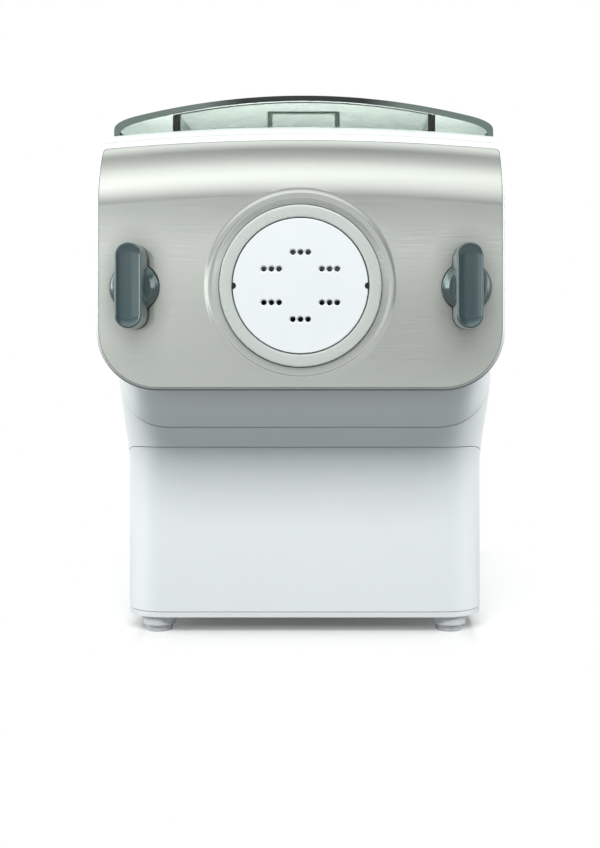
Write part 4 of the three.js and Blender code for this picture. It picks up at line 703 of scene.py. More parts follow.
class Solid:
    """A closed mesh in millimetres: | joins two solids, & keeps what they share, - cuts."""

    def __init__(self, mesh: bpy.types.Mesh) -> None:
        """Wraps a mesh."""
        self.mesh = mesh

    @classmethod
    def of(cls, points: Sequence[Place], faces: Sequence[Sequence[int]]) -> Solid:
        """Makes a solid of corners and faces, and turns it the right way out.

        Args:
            points: The corners.
            faces: The corners of each face, by number.

        Returns:
            The solid.
        """
        mesh = bpy.data.meshes.new("solid")
        mesh.from_pydata(points, [], faces)
        form = bmesh.new()
        form.from_mesh(mesh)
        bmesh.ops.recalc_face_normals(form, faces=form.faces)
        form.to_mesh(mesh)
        form.free()
        return cls(mesh)

    @classmethod
    def lofted(cls, rings: Sequence[Sequence[Place]]) -> Solid:
        """Skins rings of equal count, with flat ends.

        Args:
            rings: The rings, in order.

        Returns:
            The solid.
        """
        count = len(rings[0])
        faces = [tuple(range(count)), tuple(range((len(rings) - 1) * count, len(rings) * count))]
        for ring in range(len(rings) - 1):
            for side in range(count):
                here, beside = ring * count + side, ring * count + (side + 1) % count
                faces.append((here, beside, beside + count, here + count))
        return cls.of([point for ring in rings for point in ring], faces)

    @classmethod
    def drawn(cls, outline: Sequence[Point], axis: Axis, start: float, end: float) -> Solid:
        """Returns the outline given depth along an axis, from start to end."""
        return cls.lofted([[axis.place(*point, depth) for point in outline] for depth in (start, end)])

    @classmethod
    def turned(cls, profile: Sequence[Point], axis: Axis, centre: Point = (0, 0), sides: int = 72) -> Solid:
        """Turns a profile about an axis.

        Args:
            profile: Closed outline of radius and place along the axis, as a list.
            axis: The axis that it turns about.
            centre: Where the axis lies on the drawing.
            sides: Facets round the axis.

        Returns:
            The turned solid, whether the profile touches the axis or not.
        """
        points: list[Place] = []
        rings: list[list[int]] = []
        before = profile[-1:] + profile[:-1]
        distinct = [point for point, last in zip(profile, before) if math.dist(point, last) > ON_AXIS]
        for radius, along in distinct:
            if radius < ON_AXIS:
                rings.append([len(points)] * sides)
                points.append(axis.place(*centre, along))
                continue
            rings.append(list(range(len(points), len(points) + sides)))
            for side in range(sides):
                angle = TURN * side / sides
                across = centre[0] + radius * math.cos(angle)
                points.append(axis.place(across, centre[1] + radius * math.sin(angle), along))
        faces = []
        for ring, following in zip(rings, rings[1:] + rings[:1]):
            for side in range(sides):
                after = (side + 1) % sides
                face = [ring[side], ring[after], following[after], following[side]]
                corners = list(dict.fromkeys(face))
                if len(corners) > 2:
                    faces.append(corners)
        return cls.of(points, faces)

    @classmethod
    def block(cls, low: Place, high: Place) -> Solid:
        """Returns the block between two corners, to join or cut with."""
        outline = [(low[0], low[1]), (high[0], low[1]), (high[0], high[1]), (low[0], high[1])]
        return cls.drawn(outline, Axis.Z, low[2], high[2])

    def _set(self, other: Solid, operation: str) -> Solid:
        """Joins, cuts or keeps what is shared with another solid.

        Args:
            other: The other solid.
            operation: The operation's name.

        Returns:
            The solid.
        """
        pieces = [bpy.data.objects.new("work", solid.mesh) for solid in (self, other)]
        for piece in pieces:
            bpy.context.scene.collection.objects.link(piece)
        change = pieces[0].modifiers.new("set", "BOOLEAN")
        change.operation, change.solver, change.object = operation, "MANIFOLD", pieces[1]
        depsgraph = bpy.context.evaluated_depsgraph_get()
        mesh = bpy.data.meshes.new_from_object(pieces[0].evaluated_get(depsgraph))
        for piece in pieces:
            bpy.data.objects.remove(piece)
        return Solid(mesh)

    def __or__(self, other: Solid) -> Solid:
        """Returns both solids as one."""
        return self._set(other, "UNION")

    def __and__(self, other: Solid) -> Solid:
        """Returns what both solids share."""
        return self._set(other, "INTERSECT")

    def __sub__(self, other: Solid) -> Solid:
        """Returns this solid with the other cut away."""
        return self._set(other, "DIFFERENCE")

    def placed(self, matrix: Matrix) -> Solid:
        """Makes a copy of the solid, moved by a matrix.

        Args:
            matrix: The move, turn or scale.

        Returns:
            The solid.
        """
        mesh = self.mesh.copy()
        mesh.transform(matrix)
        if matrix.determinant() < 0:
            mesh.flip_normals()
        return Solid(mesh)

    def spun(self, angle: float, axis: str, about: Place = (0, 0, 0)) -> Solid:
        """Returns the solid turned by an angle about an axis through a point."""
        there = Matrix.Translation(about)
        return self.placed(there @ Matrix.Rotation(angle, 4, axis) @ there.inverted())

    def mirrored(self) -> Solid:
        """Returns the solid's mirror image across the middle of the machine."""
        return self.placed(Matrix.Scale(-1, 4, (1, 0, 0)))


def joined(solids: Sequence[Solid]) -> Solid:
    """Joins all the solids.

    Args:
        solids: The solids to join.

    Returns:
        The solid, in millimetres.
    """
    whole = solids[0]
    for solid in solids[1:]:
        whole = whole | solid
    return whole


def rod(radius: float, start: float, end: float, chamfer: float = 0.0) -> list[Point]:
    """Draws the profile of a rod, with chamfered ends.

    Args:
        radius: Its radius.
        start: Where it starts on its axis.
        end: Where it ends.
        chamfer: The size of the chamfers.

    Returns:
        The outline's points.
    """
    inner = radius - chamfer
    profile = [(0, start), (inner, start), (radius, start + chamfer)]
    return profile + [(radius, end - chamfer), (inner, end), (0, end)]


def ring(inner: float, outer: float, start: float, end: float) -> list[Point]:
    """Returns the profile of a ring."""
    return [(inner, start), (outer, start), (outer, end), (inner, end)]


def rounded(centre: Point, half: Point, corner: float, steps: int = 8) -> list[Point]:
    """Draws a rectangle with round corners.

    Args:
        centre: Its middle.
        half: Half its width and half its height.
        corner: The corners' radius.
        steps: Steps in each corner.

    Returns:
        The outline's points.
    """
    pen = Pen(steps)
    for turn, (x, z) in enumerate(((1, -1), (1, 1), (-1, 1), (-1, -1))):
        middle = (centre[0] + x * (half[0] - corner), centre[1] + z * (half[1] - corner))
        pen.arc(middle, corner, (turn - 1) * QUARTER, turn * QUARTER)
    return pen.closed()


@dataclass(frozen=True)
class Piece:
    """A solid made ready to show: its name, finish, body and the CAD nodes it stands for."""

    name: str
    finish: Finish
    body: str
    replaces: tuple[str, ...] = ()
    slot: str = "white_gloss"
    edge: float = 0.3
    smooth: float = 0.5
    edge_steps: int = 2

    def show(self, solid: Solid) -> bpy.types.Object:
        """Places the solid in the scene.

        Args:
            solid: The piece's shape, in millimetres.

        Returns:
            The object, riding on its body, with rounded edges and its finish.
        """
        mesh = solid.mesh.copy()
        mesh.transform(Matrix.Scale(MM, 4))
        self._smooth(mesh)
        mesh.materials.clear()
        mesh.materials.append(self.finish.material())
        piece = bpy.data.objects.new(self.name, mesh)
        bpy.context.scene.collection.objects.link(piece)
        if self.edge:
            bevel = piece.modifiers.new("edge", "BEVEL")
            bevel.width, bevel.segments = self.edge * MM, self.edge_steps
            bevel.limit_method, bevel.angle_limit = "ANGLE", self.smooth
            bevel.miter_outer = "MITER_ARC"
        weighted = piece.modifiers.new("flats", "WEIGHTED_NORMAL")
        weighted.keep_sharp = True
        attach(piece, self.body)
        if self.replaces:
            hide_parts(*self.replaces)
        log.info("%s: %d faces on %s", self.name, len(mesh.polygons), self.body)
        return piece

    def _smooth(self, mesh: bpy.types.Mesh) -> None:
        """Shades the mesh smooth, with the edges that turn further than the limit kept sharp.

        Args:
            mesh: The mesh to shade.
        """
        form = bmesh.new()
        form.from_mesh(mesh)
        bmesh.ops.remove_doubles(form, verts=form.verts, dist=0.000002)
        for face in form.faces:
            face.smooth = True
            face.material_index = 0
        for edge in form.edges:
            edge.smooth = edge.calc_face_angle(0.0) < self.smooth
        form.to_mesh(mesh)
        form.free()


def dress(names: Sequence[str], finish: Finish, edge: float = 0.0) -> None:
    """Gives CAD nodes a finish, and rounded edges where an edge width is given.

    Args:
        names: The CAD nodes.
        finish: Their finish.
        edge: The edges' width, or 0 to leave them sharp.
    """
    for name in names:
        node = frame["nodes"][name]
        node.data.materials.clear()
        node.data.materials.append(finish.material())
        if edge:
            weld = node.modifiers.new("weld", "WELD")
            weld.merge_threshold = 0.000005
            bevel = node.modifiers.new("edge", "BEVEL")
            bevel.width, bevel.segments, bevel.limit_method = edge * MM, 2, "ANGLE"
            bevel.angle_limit = 0.6
        log.info("%s: dressed in %s", name, finish.name)


# Common sizes of the casing


@dataclass(frozen=True)
class Layout:
    """The places that several sub-assemblies share."""

    face_y: float = -151.5
    nose_y: float = -131.5
    body_y: float = -105.5
    rear_seam_y: float = 166.0
    rear_y: float = 170.0
    base_rear_y: float = 167.5
    axis_z: float = 193.0
    deck_z: float = 283.0
    deck_fall: float = 4.6
    deck_round: float = 7.0
    lid_z: float = 302.0
    lid_fall: float = 11.4
    lid_round: float = 13.0
    lid_seat: float = 4.4
    panel_half: float = 107.5
    housing_half: float = 107.0
    base_half: float = 101.0
    lid_half: float = 106.4
    panel_bottom: float = 138.0
    panel_corner: float = 32.0
    housing_bottom: float = 116.0
    housing_corner: float = 31.0
    skin_margin: float = 1.8
    skin_rise: float = 1.9
    skin_corner: float = 30.2
    skin_top: float = 271.4
    skin_fall: float = 4.4
    skin_round: float = 3.0
    curl: float = 43.0
    edge_share: float = 1.08
    far_share: float = 2.3
    plan_corner: float = 22.0
    knob_x: float = 87.0
    knob_z: float = 192.4
    wall: float = 3.0
    gap: float = 0.3
    run: float = 0.5
    over: float = 5.0
    wide: float = 230.0
    tall: float = 320.0

    def below_deck(self, depth: float) -> float:
        """Returns the height a depth under the deck's lowest edge."""
        return self.deck_z - self.deck_fall - depth

    def arched(
        self, side: float, bottom: float, corner: float, crown: float, fall: float, top: float
    ) -> list[Point]:
        """Draws a front view with round lower corners and a top that arches to a crown.

        Args:
            side: Half its width.
            bottom: Its lowest height.
            corner: The lower corners' radius.
            crown: Its greatest height.
            fall: How far the arch falls to each side.
            top: The upper corners' size.

        Returns:
            The outline.
        """
        shoulder, end = crown - fall, side - top
        pen = Pen(14).line(side - corner, bottom).arc((side - corner, bottom + corner), corner, -QUARTER, 0)
        pen.line(side, shoulder - top).curve((side, shoulder), (end, shoulder))
        pen.curve((0, 2 * crown - shoulder), (-end, shoulder), 2)
        pen.curve((-side, shoulder), (-side, shoulder - top)).line(-side, bottom + corner)
        return pen.arc((-side + corner, bottom + corner), corner, -2 * QUARTER, -QUARTER).closed()

    def casing(self, half: float, bottom: float, corner: float, inset: float = 0.0) -> list[Point]:
        """Returns the casing's front view, drawn in by an inset."""
        crown, top = self.deck_z - inset, self.deck_round - inset
        return self.arched(half - inset, bottom + inset, corner - inset, crown, self.deck_fall, top)

    def housing(self, inset: float = 0.0) -> list[Point]:
        """Returns the front view of the upper housing."""
        return self.casing(self.housing_half, self.housing_bottom, self.housing_corner, inset)

    def nose(self, inset: float = 0.0) -> list[Point]:
        """Returns the front view of the housing's nose."""
        return self.casing(self.housing_half, self.panel_bottom, self.panel_corner, inset)

    def panel(self, inset: float = 0.0) -> list[Point]:
        """Returns the front view of the front panel."""
        return self.casing(self.panel_half, self.panel_bottom, self.panel_corner, inset)

    def skin(self, inset: float = 0.0) -> list[Point]:
        """Draws the front view of the silver skin.

        Args:
            inset: How far it is drawn in.

        Returns:
            The outline.
        """
        side = self.panel_half - self.skin_margin - inset
        bottom = self.panel_bottom + self.skin_rise + inset
        corner, crown = self.skin_corner - inset, self.skin_top - inset
        return self.arched(side, bottom, corner, crown, self.skin_fall, self.skin_round)

    def side(self, inset: float = 0.0) -> Solid:
        """Shapes all that lies behind the front face and below its curl, which follows the deck's arch.

        Args:
            inset: How far it is drawn in.

        Returns:
            The solid.
        """
        face, radius = self.face_y + inset, self.curl - inset
        middle, end = self.face_y + self.curl, self.housing_half - self.deck_round
        edge, far = self.edge_share, self.far_share
        rings = []
        for share in (-far, -edge, *(step / 14 for step in range(-14, 15)), edge, far):
            centre_z = self.deck_z - self.curl - self.deck_fall * min(abs(share), edge) ** 2
            pen = Pen(28).line(self.wide, -self.over).line(self.wide, centre_z + radius)
            outline = pen.arc((middle, centre_z), radius, QUARTER, math.pi).line(face, -self.over).closed()
            rings.append([Axis.X.place(*point, end * share) for point in outline])
        return Solid.lofted(rings)

    def plan_ring(self, half: float, start: float, end: float, corner: float) -> list[Point]:
        """Draws a plan view with round corners.

        Args:
            half: Half its width.
            start: Its front.
            end: Its rear.
            corner: The corners' radius.

        Returns:
            The outline.
        """
        pen = Pen(12)
        for x, y, turn in ((1, start, -1), (1, end, 0), (-1, end, 1), (-1, start, 2)):
            centre = (x * (half - corner), y + (corner if y == start else -corner))
            pen.arc(centre, corner, turn * QUARTER, (turn + 1) * QUARTER)
        return pen.closed()

    def plan(self, inset: float = 0.0) -> Solid:
        """Shapes the housing's plan as a solid as tall as the machine.

        Args:
            inset: How far it is drawn in.

        Returns:
            The solid.
        """
        half, corner = self.housing_half - inset, self.plan_corner - inset
        outline = self.plan_ring(half, self.body_y + inset, self.rear_y - inset, corner)
        return Solid.drawn(outline, Axis.Z, -self.over, self.tall)

    def lid(self, inset: float = 0.0, bottom: float | None = None) -> list[Point]:
        """Draws the lid's front view, flat below or down to a given height.

        Args:
            inset: How far it is drawn in.
            bottom: Where it is cut flat, or None for the deck's arch.

        Returns:
            The outline.
        """
        side, crown = self.lid_half - inset, self.lid_z - inset
        shoulder, end = crown - self.lid_fall, self.deck_z - self.deck_fall + self.lid_seat - inset
        edge = self.deck_z + inset - self.deck_fall
        arch = side - self.lid_round
        turn = shoulder - 2 * self.lid_fall * self.lid_round / arch
        pen = Pen(12)
        if bottom is None:
            pen.line(-side, edge).curve((0, 2 * (self.deck_z + self.gap + inset) - edge), (side, edge), 2)
        else:
            pen.line(-side, bottom).line(side, bottom)
        pen.line(side, end).curve((side, turn), (arch, shoulder))
        pen.curve((0, 2 * crown - shoulder), (-arch, shoulder), 3)
        return pen.curve((-side, turn), (-side, end)).closed()


L = Layout()
CENTRE: Point = (0.0, L.axis_z)
KNOBS: tuple[Point, Point] = ((-L.knob_x, L.knob_z), (L.knob_x, L.knob_z))


# Front panel and its locking knobs


@dataclass
class FrontPanel:
    """The lift-off front: a white shell, the silver skin let into it, and the collar round the disc."""

    sheet: float = 1.2
    collar_bore: float = 35.9
    collar_rim: float = 42.5
    collar_proud: float = 2.2
    lip_peak: float = 48.4
    lip_half: float = 2.4
    lip_foot: float = 51.4
    lip_rise: float = 0.2
    groove_rise: float = 0.2
    bezel_round: float = 1.9
    bezel_set: float = 0.2
    knob_hole: float = 13.3
    shaft_bore: float = 4.5
    boss_wall: float = 4.0
    rim_edge: tuple[Point, ...] = ((0.0, 0.8), (0.3, 0.35), (1.1, 0.0))
    bore_edge: tuple[Point, ...] = ((1.1, 0.0), (0.4, 0.25), (0.1, 0.8), (0.0, 1.4))

    def lip_profile(self) -> list[Point]:
        """Draws the raised lip's profile: a dished groove, a soft crest and a slope to the face.

        Returns:
            The outline.
        """
        back, start = L.face_y + self.sheet / 2, self.collar_rim + L.run
        profile = [(self.lip_foot, back), (start, back)]
        for step in range(33):
            radius = mix(start, self.lip_foot, step / 32)
            away = min(abs(radius - self.lip_peak) / self.lip_half, 1.0)
            rise = self.groove_rise * (1 - eased(step / 32)) + self.lip_rise * math.cos(QUARTER * away) ** 2
            profile.append((radius, L.face_y - rise))
        return profile

    def skin(self) -> Solid:
        """Shapes the silver skin with its lip, disc hole and knob holes.

        Returns:
            The solid.
        """
        slab = Solid.drawn(L.skin(), Axis.Y, L.face_y - L.over, L.nose_y)
        sheet = (slab & L.side()) - L.side(self.sheet)
        lip = Solid.turned(self.lip_profile(), Axis.Y, CENTRE, 128)
        hole = Solid.turned(rod(self.collar_rim + L.run, L.face_y - L.over, L.nose_y), Axis.Y, CENTRE, 128)
        sheet = (sheet | lip) - hole
        for knob in KNOBS:
            sheet = sheet - Solid.turned(rod(self.knob_hole, L.face_y - L.over, L.nose_y), Axis.Y, knob, 48)
        return sheet

    def shell(self) -> Solid:
        """Shapes the white shell: a thin bezel in front, and bosses behind the skin.

        Returns:
            The solid.
        """
        inner = self.sheet + L.gap
        front, edge = L.face_y + self.bezel_set, self.bezel_round
        turns = [QUARTER * step / 5 for step in range(6)]
        levels = [(edge * (1 - math.sin(turn)), front + edge * (1 - math.cos(turn))) for turn in turns]
        levels.append((0, L.nose_y - L.gap))
        rings = [[Axis.Y.place(*point, y) for point in L.panel(inset)] for inset, y in levels]
        full = Solid.lofted(rings) & L.side(self.bezel_set)
        pocket = Solid.drawn(L.skin(-L.gap), Axis.Y, L.face_y - L.over, L.nose_y) - L.side(inner)
        cavity = Solid.drawn(L.panel(L.wall), Axis.Y, L.face_y, L.nose_y) & L.side(inner + L.wall)
        shell = full - pocket - cavity
        bores = [(CENTRE, self.collar_bore)] + [(knob, self.shaft_bore) for knob in KNOBS]
        for centre, bore in bores:
            boss = ring(bore, bore + self.boss_wall, L.face_y + inner + L.gap, L.nose_y - L.gap)
            shell = shell | Solid.turned(boss, Axis.Y, centre, 96)
        for centre, bore in bores:
            shell = shell - Solid.turned(rod(bore, L.face_y - L.over, L.nose_y), Axis.Y, centre, 96)
        return shell

    def collar(self) -> Solid:
        """Shapes the collar: a flat face between two rounded rims, with a fine step in its bore.

        Returns:
            The solid.
        """
        front, back = L.face_y - self.collar_proud, L.face_y + self.sheet
        bore, rim = self.collar_bore, self.collar_rim
        profile = [(bore, back), (rim, back)]
        profile += [(rim - inward, front + fall) for inward, fall in self.rim_edge]
        profile += [(bore + outward, front + fall) for outward, fall in self.bore_edge]
        return Solid.turned(profile, Axis.Y, CENTRE, 144)

    def build(self) -> None:
        """Builds and shows the panel's pieces."""
        shell = Piece("panel_shell", Finishes.bezel, "front_panel", ("front_panel_shell",))
        shell.show(self.shell())
        skin = Piece("panel_skin", Finishes.skin, "front_panel", ("front_panel_skin",), "brushed_silver", 0.0)
        skin.show(self.skin())
        collar = Piece("panel_collar", Finishes.collar, "front_panel", ("disc_collar",), "collar_grey", 0.0)
        collar.show(self.collar())


@dataclass
class LockKnob:
    """A locking knob: a bevelled upright wing on a stepped skirt, with a cross-barred shaft behind."""

    centre: Point
    side: str
    front: float = -171.5
    sunk: float = 1.2
    width: float = 14.6
    length: float = 44.6
    draft: float = 0.4
    bevel: float = 0.6
    root_share: float = 0.22
    shoulder: tuple[Point, ...] = ((0.28, 0.18), (0.07, 0.45), (0.0, 0.8))
    dish: tuple[Point, ...] = ((0.25, 1.55), (0.65, 2.8), (0.85, 4.3), (0.92, 6.0))
    skirt: float = 12.8
    skirt_rise: float = 3.6
    skirt_edge: tuple[Point, ...] = ((0.0, 0.0), (0.3, 0.5), (1.1, 1.0))
    cone: float = 9.6
    cone_rise: float = 8.4
    cone_foot: Point = (0.8, 1.4)
    socket: float = 4.3

    def stadium(self, inset: float) -> list[Point]:
        """Draws the wing's outline, drawn in by an inset.

        Args:
            inset: How far it is drawn in.

        Returns:
            The outline.
        """
        radius, reach = self.width / 2 - inset, (self.length - self.width) / 2
        x, z = self.centre
        pen = Pen(20).arc((x, z + reach), radius, 0, math.pi)
        return pen.arc((x, z - reach), radius, math.pi, TURN).closed()

    def knob(self) -> Solid:
        """Shapes the knob with its shaft socket.

        Returns:
            The solid.
        """
        seat = L.face_y + self.sunk
        root = seat - (seat - self.front) * self.root_share
        levels = [(root, self.bevel), (root - self.bevel, 0), (self.front + self.bevel, self.draft)]
        levels += [(self.front + fall, self.draft + inset) for fall, inset in self.shoulder]
        levels += [(self.front + fall, inset) for fall, inset in self.dish]
        wing = Solid.lofted([[Axis.Y.place(*p, y) for p in self.stadium(inset)] for y, inset in levels])
        top, cone = seat - self.skirt_rise, seat - self.cone_rise
        profile = [(0, seat), (self.skirt, seat)]
        profile += [(self.skirt - inward, top - rise) for inward, rise in self.skirt_edge]
        profile += [(self.cone + self.cone_foot[0], cone + self.cone_foot[1]), (self.cone, cone), (0, cone)]
        skirt = Solid.turned(profile, Axis.Y, self.centre, 64)
        socket = Solid.turned(rod(self.socket, cone + L.wall, seat + L.over), Axis.Y, self.centre, 32)
        return (skirt | wing) - socket

    def build(self) -> None:
        """Builds and shows the knob, and dresses its shaft."""
        body = f"knob_{self.side}"
        piece = Piece(body, Finishes.slate, body, (f"lock_knob_{self.side}",), "knob_slate", 0.25, 0.6)
        piece.show(self.knob())
        dress([f"lock_shaft_{self.side}"], Finishes.steel, 0.3)


# Extruder and mixer


@dataclass
class Extruder:
    """The shaping disc, the tube that carries it and the screw that feeds it."""

    disc_radius: float = 35.4
    disc_depth: float = 6.2
    disc_proud: float = 1.8
    disc_sunk: float = 0.1
    disc_edge: tuple[Point, ...] = ((3.0, 0.1), (2.6, 0.0), (0.3, 0.0), (0.0, 0.3))
    disc_round: float = 0.3
    notch: float = 1.8
    past: float = 2.0
    seal_bite: float = 0.1
    seal_wide: float = 0.36
    seal_front: float = 0.7
    seal_back: float = 3.0
    pin_front: float = 0.35
    hole_radius: float = 1.45
    sink: float = 0.5
    sink_end: float = 1.3
    hole_pitch: float = 4.0
    cluster_circle: float = 17.6
    clusters: int = 6
    tube_bore: float = 25.2
    tube_wall: float = 4.0
    mouth: float = 0.6
    flange: float = 34.6
    flange_edge: float = 0.5
    flange_depth: float = 4.0
    fillet: float = 1.5
    rear: float = -95.8
    screw_ends: Point = (-144.0, -93.0)
    screw_radius: float = 24.4
    core_radius: float = 11.0
    pitch: float = 25.0
    flight_share: float = 0.3
    shaft_socket: float = 6.3
    socket_depth: float = 14.0

    def disc(self) -> Solid:
        """Shapes the shaping disc with its clusters of countersunk holes and its two notches.

        Returns:
            The solid.
        """
        front, back, rim = L.face_y - self.disc_proud, L.face_y + self.disc_depth, self.disc_radius
        profile = [(0, front + self.disc_sunk)]
        profile += [(rim - inward, front + fall) for inward, fall in self.disc_edge]
        profile += [(rim, back - self.disc_round), (rim - self.disc_round, back), (0, back)]
        disc = Solid.turned(profile, Axis.Y, CENTRE, 128)
        start, end, mouth = front - self.past, back + self.past, self.hole_radius + self.sink
        hole = [(0, start), (mouth, start), (mouth, front + self.sink)]
        hole += [(self.hole_radius, front + self.sink_end), (self.hole_radius, end), (0, end)]
        for cluster in range(self.clusters):
            angle = QUARTER + TURN * cluster / self.clusters
            z = L.axis_z + self.cluster_circle * math.sin(angle)
            for step in (-1, 0, 1):
                x = self.cluster_circle * math.cos(angle) + step * self.hole_pitch
                disc = disc - Solid.turned(hole, Axis.Y, (x, z), 20)
        for x in (-rim, rim):
            disc = disc - Solid.turned(rod(self.notch, start, end), Axis.Y, (x, L.axis_z), 32)
        return disc

    def seal(self) -> Solid:
        """Shapes the dark seal round the disc, with a locating pin in each notch; seal and pins are painted
        shade, standing in for the shade in the gap round the disc and in the notches.

        Returns:
            The solid.
        """
        front, back, rim = L.face_y - self.disc_proud, L.face_y + self.disc_depth, self.disc_radius
        outer = rim + self.seal_wide
        profile = ring(rim - self.seal_bite, outer, front + self.seal_front, front + self.seal_back)
        seal = Solid.turned(profile, Axis.Y, CENTRE, 128)
        bound = Solid.turned(rod(outer, front, back), Axis.Y, CENTRE, 128)
        pin = rod(self.notch - self.seal_bite, front + self.pin_front, back)
        for x in (-rim, rim):
            seal = seal | (Solid.turned(pin, Axis.Y, (x, L.axis_z), 32) & bound)
        return seal

    def tube(self) -> Solid:
        """Shapes the tube with its flange and a rounded mouth.

        Returns:
            The solid.
        """
        front = L.face_y + self.disc_depth + L.gap
        bore, outer = self.tube_bore, self.tube_bore + self.tube_wall
        edge, back = self.flange_edge, front + self.flange_depth
        profile = [(bore + self.mouth, front), (self.flange - edge, front), (self.flange, front + edge)]
        profile += [(self.flange, back - edge), (self.flange - edge, back), (outer + self.fillet, back)]
        profile += [(outer, back + self.fillet), (outer, self.rear)]
        profile += [(bore, self.rear), (bore, front + self.mouth)]
        return Solid.turned(profile, Axis.Y, CENTRE, 96)

    def screw(self) -> Solid:
        """Shapes the extrusion screw: a flight of one hand round a core, with the shaft's socket.

        Returns:
            The solid.
        """
        (start, end), steps, sides = self.screw_ends, 96, 72
        rings = []
        for step in range(steps + 1):
            y = mix(start, end, step / steps)
            level = []
            for side in range(sides):
                turn = side / sides
                phase = (turn + y / self.pitch) % 1.0
                rise = 2 * (1 - abs(phase - 0.5) / self.flight_share)
                radius = mix(self.core_radius, self.screw_radius, eased(rise))
                level.append((radius * math.cos(turn * TURN), y, L.axis_z + radius * math.sin(turn * TURN)))
            rings.append(level)
        socket = rod(self.shaft_socket, end - self.socket_depth, end + L.over)
        return Solid.lofted(rings) - Solid.turned(socket, Axis.Y, CENTRE, 32)

    def build(self) -> None:
        """Builds and shows the disc, the tube and the screw."""
        disc = Piece("shaping_plate", Finishes.disc, "root", ("shaping_disc",), "white_matte", 0.0)
        disc.show(self.disc())
        # painted shade: the dark seal fills the gap round the disc and the notches
        Piece("disc_shade_seal", Finishes.painted_gap_shade, "root", (), "dark_plastic", 0.0).show(self.seal())
        Piece("tube", Finishes.frost, "root", ("extrusion_tube",), "frosted_tube", 0.0).show(self.tube())
        screw = Piece("screw", Finishes.disc, "mixer", ("extrusion_screw",), "white_matte", 0.0, 0.9)
        screw.show(self.screw())


@dataclass
class Mixer:
    """The see-through chamber, and the paddle that turns in it."""

    front: float = -98.0
    rear: float = 40.0
    wall: float = 2.5
    radius: float = 52.0
    half: float = 74.0
    shoulder: float = 246.0
    top: float = 270.0
    spout: float = 29.6
    spout_wall: float = 3.4
    spout_long: float = 8.0
    seal_hole: float = 12.9
    ends: Point = (5.5, 3.3)
    hub: tuple[Point, ...] = ((10.0, 0.0), (11.0, 1.0), (11.0, 8.0), (9.6, 14.0))
    arms: int = 4
    bar: float = 34.0
    arm_corner: float = 1.4
    arm: tuple[Place, ...] = ((0, 4.5, 3.0), (14, 4.2, 3.0), (34, 3.4, 2.6), (41, 3.6, 2.8), (43, 4.2, 3.0))
    blade: tuple[Point, ...] = ((3.6, 40.0), (4.5, 41.2), (4.5, 45.0), (3.2, 45.9))
    shaft_socket: float = 6.3

    def outline(self, inset: float, top: float) -> list[Point]:
        """Draws the trough's front view, drawn in by an inset.

        Args:
            inset: How far it is drawn in.
            top: How high it reaches.

        Returns:
            The outline.
        """
        half = self.half - inset
        pen = Pen(40).arc(CENTRE, self.radius - inset, -math.pi, 0).line(half, self.shoulder)
        return pen.line(half, top).line(-half, top).line(-half, self.shoulder).closed()

    def chamber(self) -> Solid:
        """Shapes the trough with the spout for the tube and the hole for the seal.

        Returns:
            The solid.
        """
        outside = Solid.drawn(self.outline(0, self.top), Axis.Y, self.front, self.rear)
        hollow = self.outline(self.wall, self.top + L.over)
        inside = Solid.drawn(hollow, Axis.Y, self.front + self.wall, self.rear - self.wall)
        start = self.front - self.spout_long
        spout = rod(self.spout + self.spout_wall, start, self.front + self.wall / 2, 2 * L.gap)
        bore = rod(self.spout, start - L.over, self.front + self.wall + L.gap)
        seal = rod(self.seal_hole, self.rear - self.wall - L.gap, self.rear + L.over)
        chamber = (outside - inside) | Solid.turned(spout, Axis.Y, CENTRE, 96)
        return chamber - Solid.turned(bore, Axis.Y, CENTRE, 96) - Solid.turned(seal, Axis.Y, CENTRE, 48)

    def paddle(self) -> Solid:
        """Shapes the paddle: a waisted hub, and tapered arms that each end in a wall scraper.

        Returns:
            The solid.
        """
        start, end, bar = self.front + self.ends[0], self.rear - self.ends[1], self.bar
        profile = [(0, start)] + [(radius, start + inward) for radius, inward in self.hub]
        profile += [(radius, end - inward) for radius, inward in reversed(self.hub)] + [(0, end)]
        paddle = Solid.turned(profile, Axis.Y, CENTRE, 64)
        blade = [(across, L.axis_z + rise) for across, rise in self.blade]
        blade += [(-across, z) for across, z in reversed(blade)]
        for arm in range(self.arms):
            y = mix(start + bar / 2, end - bar / 2, arm / (self.arms - 1))
            rings = []
            for rise, *half in self.arm:
                outline = rounded((0, y), half, self.arm_corner, 5)
                rings.append([Axis.Z.place(*point, L.axis_z + rise) for point in outline])
            limb = Solid.lofted(rings) | Solid.drawn(blade, Axis.Y, y - bar / 2, y + bar / 2)
            paddle = paddle | limb.spun(TURN * arm / self.arms, "Y", (0, 0, L.axis_z))
        socket = rod(self.shaft_socket, start - L.over, end + L.over)
        return paddle - Solid.turned(socket, Axis.Y, CENTRE, 32)

    def build(self) -> None:
        """Builds and shows the chamber and paddle, and dresses what turns with them."""
        chamber = Piece("chamber", Finishes.clear, "root", ("mixing_chamber",), "clear_plastic", 0.35)
        chamber.show(self.chamber())
        paddle = Piece("paddle", Finishes.disc, "mixer", ("mixing_paddle",), "white_matte", 0.3)
        paddle.show(self.paddle())
        dress(["drive_shaft", "output_bearing"], Finishes.steel, 0.3)
        dress(["shaft_seal"], Finishes.seal, 0.2)


# Casing


